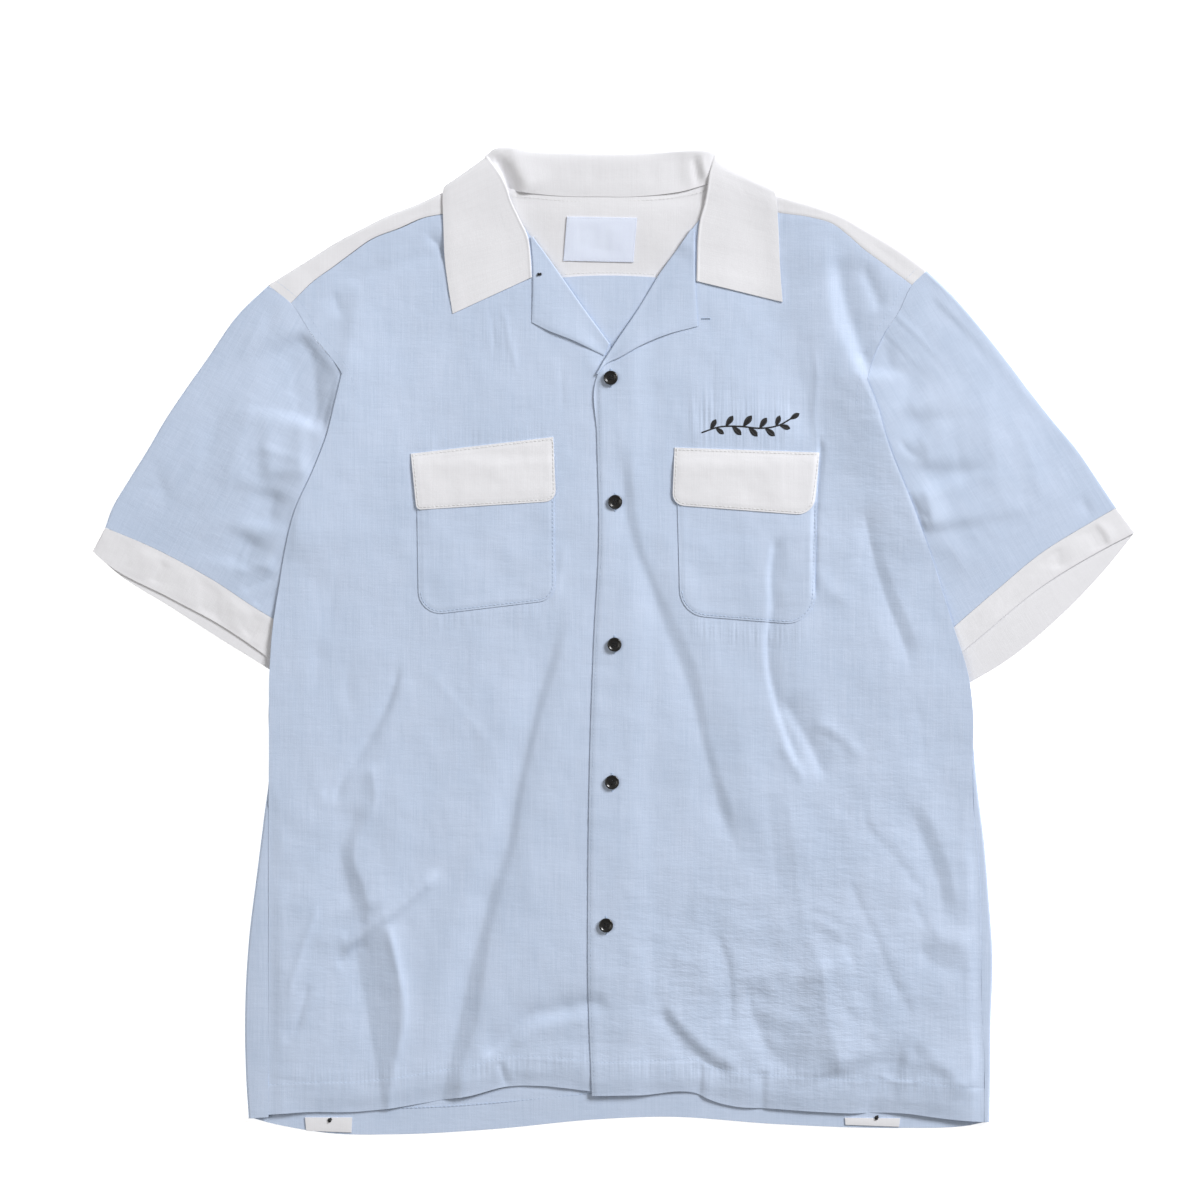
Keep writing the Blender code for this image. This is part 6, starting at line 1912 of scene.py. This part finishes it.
def sprig():
    """A plain embroidered sprig: a curved stem with leaves in satin stitch."""
    strands = []

    def sew(first, last, thick):
        strands.append((on_left_front(*first), on_left_front(*last), thick))

    stem = even(SPRIG_STEM, SEAM_POINTS["sprig"])
    for first, last in zip(stem[:-1], stem[1:]):
        overlap = STEM_OVERLAP * (last - first)
        sew(first - overlap, last + overlap, STEM_THREAD)
    for place, angle, length in SPRIG_LEAVES:
        root = np.array([np.interp(place, np.linspace(0, 1, len(stem)), stem[:, k]) for k in range(2)])
        along = np.array([math.cos(math.radians(angle)), math.sin(math.radians(angle))])
        across = np.array([-along[1], along[0]])
        count = int(length / LEAF_PITCH)
        for step in range(count):
            share = (step + 0.5) / count
            half = LEAF_WIDTH[0] * length * math.sin(math.pi * share**LEAF_FORM) + LEAF_WIDTH[1]
            middle = root + along * length * share
            for sign in (-1, 1):
                sew(middle, middle + (sign * across + LEAF_SLANT * along) * half, LEAF_THREAD)
        sew(root, root + along * length * VEIN_LENGTH, VEIN_THREAD)
    return strands


def make_black_thread():
    """The dark threads: knots, buttonholes, the threads that hold the buttons, the sprig, and a black strand
    of painted shadow along the loop's slit.
    """
    strands = sprig()
    x, y = LAPEL_KNOT
    on_lapel = level_at(FRONTS["right"], x, y) + 2 * ROLLED_EDGE + LAPEL_KNOT_RISE
    strands += knot(x, y, on_lapel, *LAPEL_KNOT_SIZE, 0.3)
    for x, y in TAB_KNOTS:
        strands += knot(x, y, TABLE_LAYER + TAB_KNOT_RISE, *TAB_KNOT_SIZE, 0.9)
    # Painted shadow: a black strand along the loop's slit, where the open slit is only in shade.
    strands.append((*(on_left_front(x, y, 0.5 * CLOTH + LOOP_SLIT_SHADOW_RISE) for x, y in LOOP_SLIT_SHADOW), BAR_THREAD))
    holes = []
    for x, y in BUTTONS:
        for offset in np.arange(-BUTTONHOLE_HALF, BUTTONHOLE_HALF + 0.1, STITCH_PITCH):
            _, _, z = on_left_front(x, y + offset)
            across = ((x + dx, y + offset, z) for dx in (-BUTTONHOLE_WIDTH, BUTTONHOLE_WIDTH))
            holes.append((*across, BAR_THREAD))
    x, y, half_length, half_width = LOOP_HOLE
    for offset in np.arange(-half_length, half_length + 0.1, STITCH_PITCH):
        _, _, z = on_left_front(x + offset, y)
        holes.append(((x + offset, y - half_width, z), (x + offset, y + half_width, z), 1.0))
    thread_piece("thread_black", strands, "black_thread")
    thread_piece("buttonholes", holes, "blue_thread")


def button_strands(x, y, base, east, north, turn):
    """The threads over a button, two pairs through its four holes, tilted and turned with it."""
    strands = []
    for row in (-HOLE_OFFSET, HOLE_OFFSET):
        for lay in BUTTON_THREAD_LAY:
            ends = []
            for dx in (-HOLE_OFFSET * BUTTON_THREAD_REACH, HOLE_OFFSET * BUTTON_THREAD_REACH):
                px = dx * math.cos(turn) - (row + lay) * math.sin(turn)
                py = dx * math.sin(turn) + (row + lay) * math.cos(turn)
                ends.append((x + px, y + py, base + BUTTON_THREAD_Z + px * east + py * north))
            strands.append((*ends, 1.0))
    return strands


def make_buttons():
    """The five buttons, tilted with the cloth, each sewn on through its four holes."""
    disc = button_mesh()
    left = FRONTS["left"]
    reach = SLOPE_REACH
    strands = []
    for number, ((x, y), turn) in enumerate(zip(BUTTONS, BUTTON_TURNS), start=1):
        east = (level_at(left, x + reach, y) - level_at(left, x - reach, y)) / (2 * reach)
        north = (level_at(left, x, y + reach) - level_at(left, x, y - reach)) / (2 * reach)
        base = level_at(left, x, y) + 0.5 * CLOTH + BUTTON_LIFT
        button = linked(f"button_{number}_disc", disc)
        button.location = ((x + CENTRE_X) * MM, (y + CENTRE_Y) * MM, base * MM)
        button.rotation_euler = (math.atan(north), -math.atan(east), turn)
        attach(button, "root")
        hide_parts(f"button_{number}")
        strands += button_strands(x, y, base, east, north, turn)
    thread_piece("button_thread", strands, "black_thread")


# ---------------------------------------------------------------- stage, light and camera


def make_floor():
    """The near-white surface that the shirt lies on."""
    mesh = bpy.data.meshes.new("floor")
    corners = [(x * FLOOR_HALF, y * FLOOR_HALF, FLOOR_Z) for x, y in ((-1, -1), (1, -1), (1, 1), (-1, 1))]
    mesh.from_pydata(corners, [], [(0, 1, 2, 3)])
    white, *_ = material_of("floor_white", FLOOR_LOOK)
    mesh.materials.append(white)
    floor = linked("floor", mesh)


def make_lights():
    """One large lamp from the upper right, a weak one from the left, and an even white surround."""
    for name, place, size, colour, power in LIGHTS:
        lamp = bpy.data.lights.new(name, "AREA")
        lamp.shape = "RECTANGLE"
        lamp.size, lamp.size_y = size
        lamp.color = colour
        lamp.energy = power
        obj = linked(name, lamp)
        obj.location = place
        obj.rotation_euler = (-Vector(place)).to_track_quat("-Z", "Y").to_euler()
    world = bpy.data.worlds.new("studio")
    world.use_nodes = True
    background = world.node_tree.nodes["Background"]
    background.inputs["Color"].default_value = WORLD_COLOUR
    background.inputs["Strength"].default_value = WORLD_LIGHT
    bpy.context.scene.world = world
    bpy.context.scene.view_settings.view_transform = "Standard"


def make_camera():
    """The camera, which looks straight down."""
    camera = bpy.data.cameras.new("camera")
    camera.sensor_width = SENSOR_WIDTH
    camera.lens = LENS
    camera.clip_end = CLIP_END
    eye = linked("camera", camera)
    distance = FRAME_WIDTH * LENS / SENSOR_WIDTH
    x, y = FRAME_CENTRE
    eye.location = ((x + CENTRE_X) * MM, (y + CENTRE_Y) * MM, (distance + EYE_LEVEL) * MM)
    bpy.context.scene.camera = eye


# ---------------------------------------------------------------- the shirt

MATERIALS = {name: cloth_material(name, look) for name, look in LOOKS.items()}
MATERIALS.update({look[0]: plain_material(*look) for look in PLAIN_LOOKS})
FRONTS = {
    side: sampled(lambda x, y, side=side: front_surface(x, y, side), *FRONT_REACH[side]) for side in SHIRT
}

make_back()
make_yoke()
for shirt_side in SHIRT:
    make_sleeve(shirt_side)
    make_cuff(shirt_side)
for shirt_side in SHIRT:
    make_front(shirt_side)
    make_lapel(shirt_side)
make_collar()
make_patches()
make_buttons()
make_stitching()
make_black_thread()
make_floor()
make_lights()
make_camera()
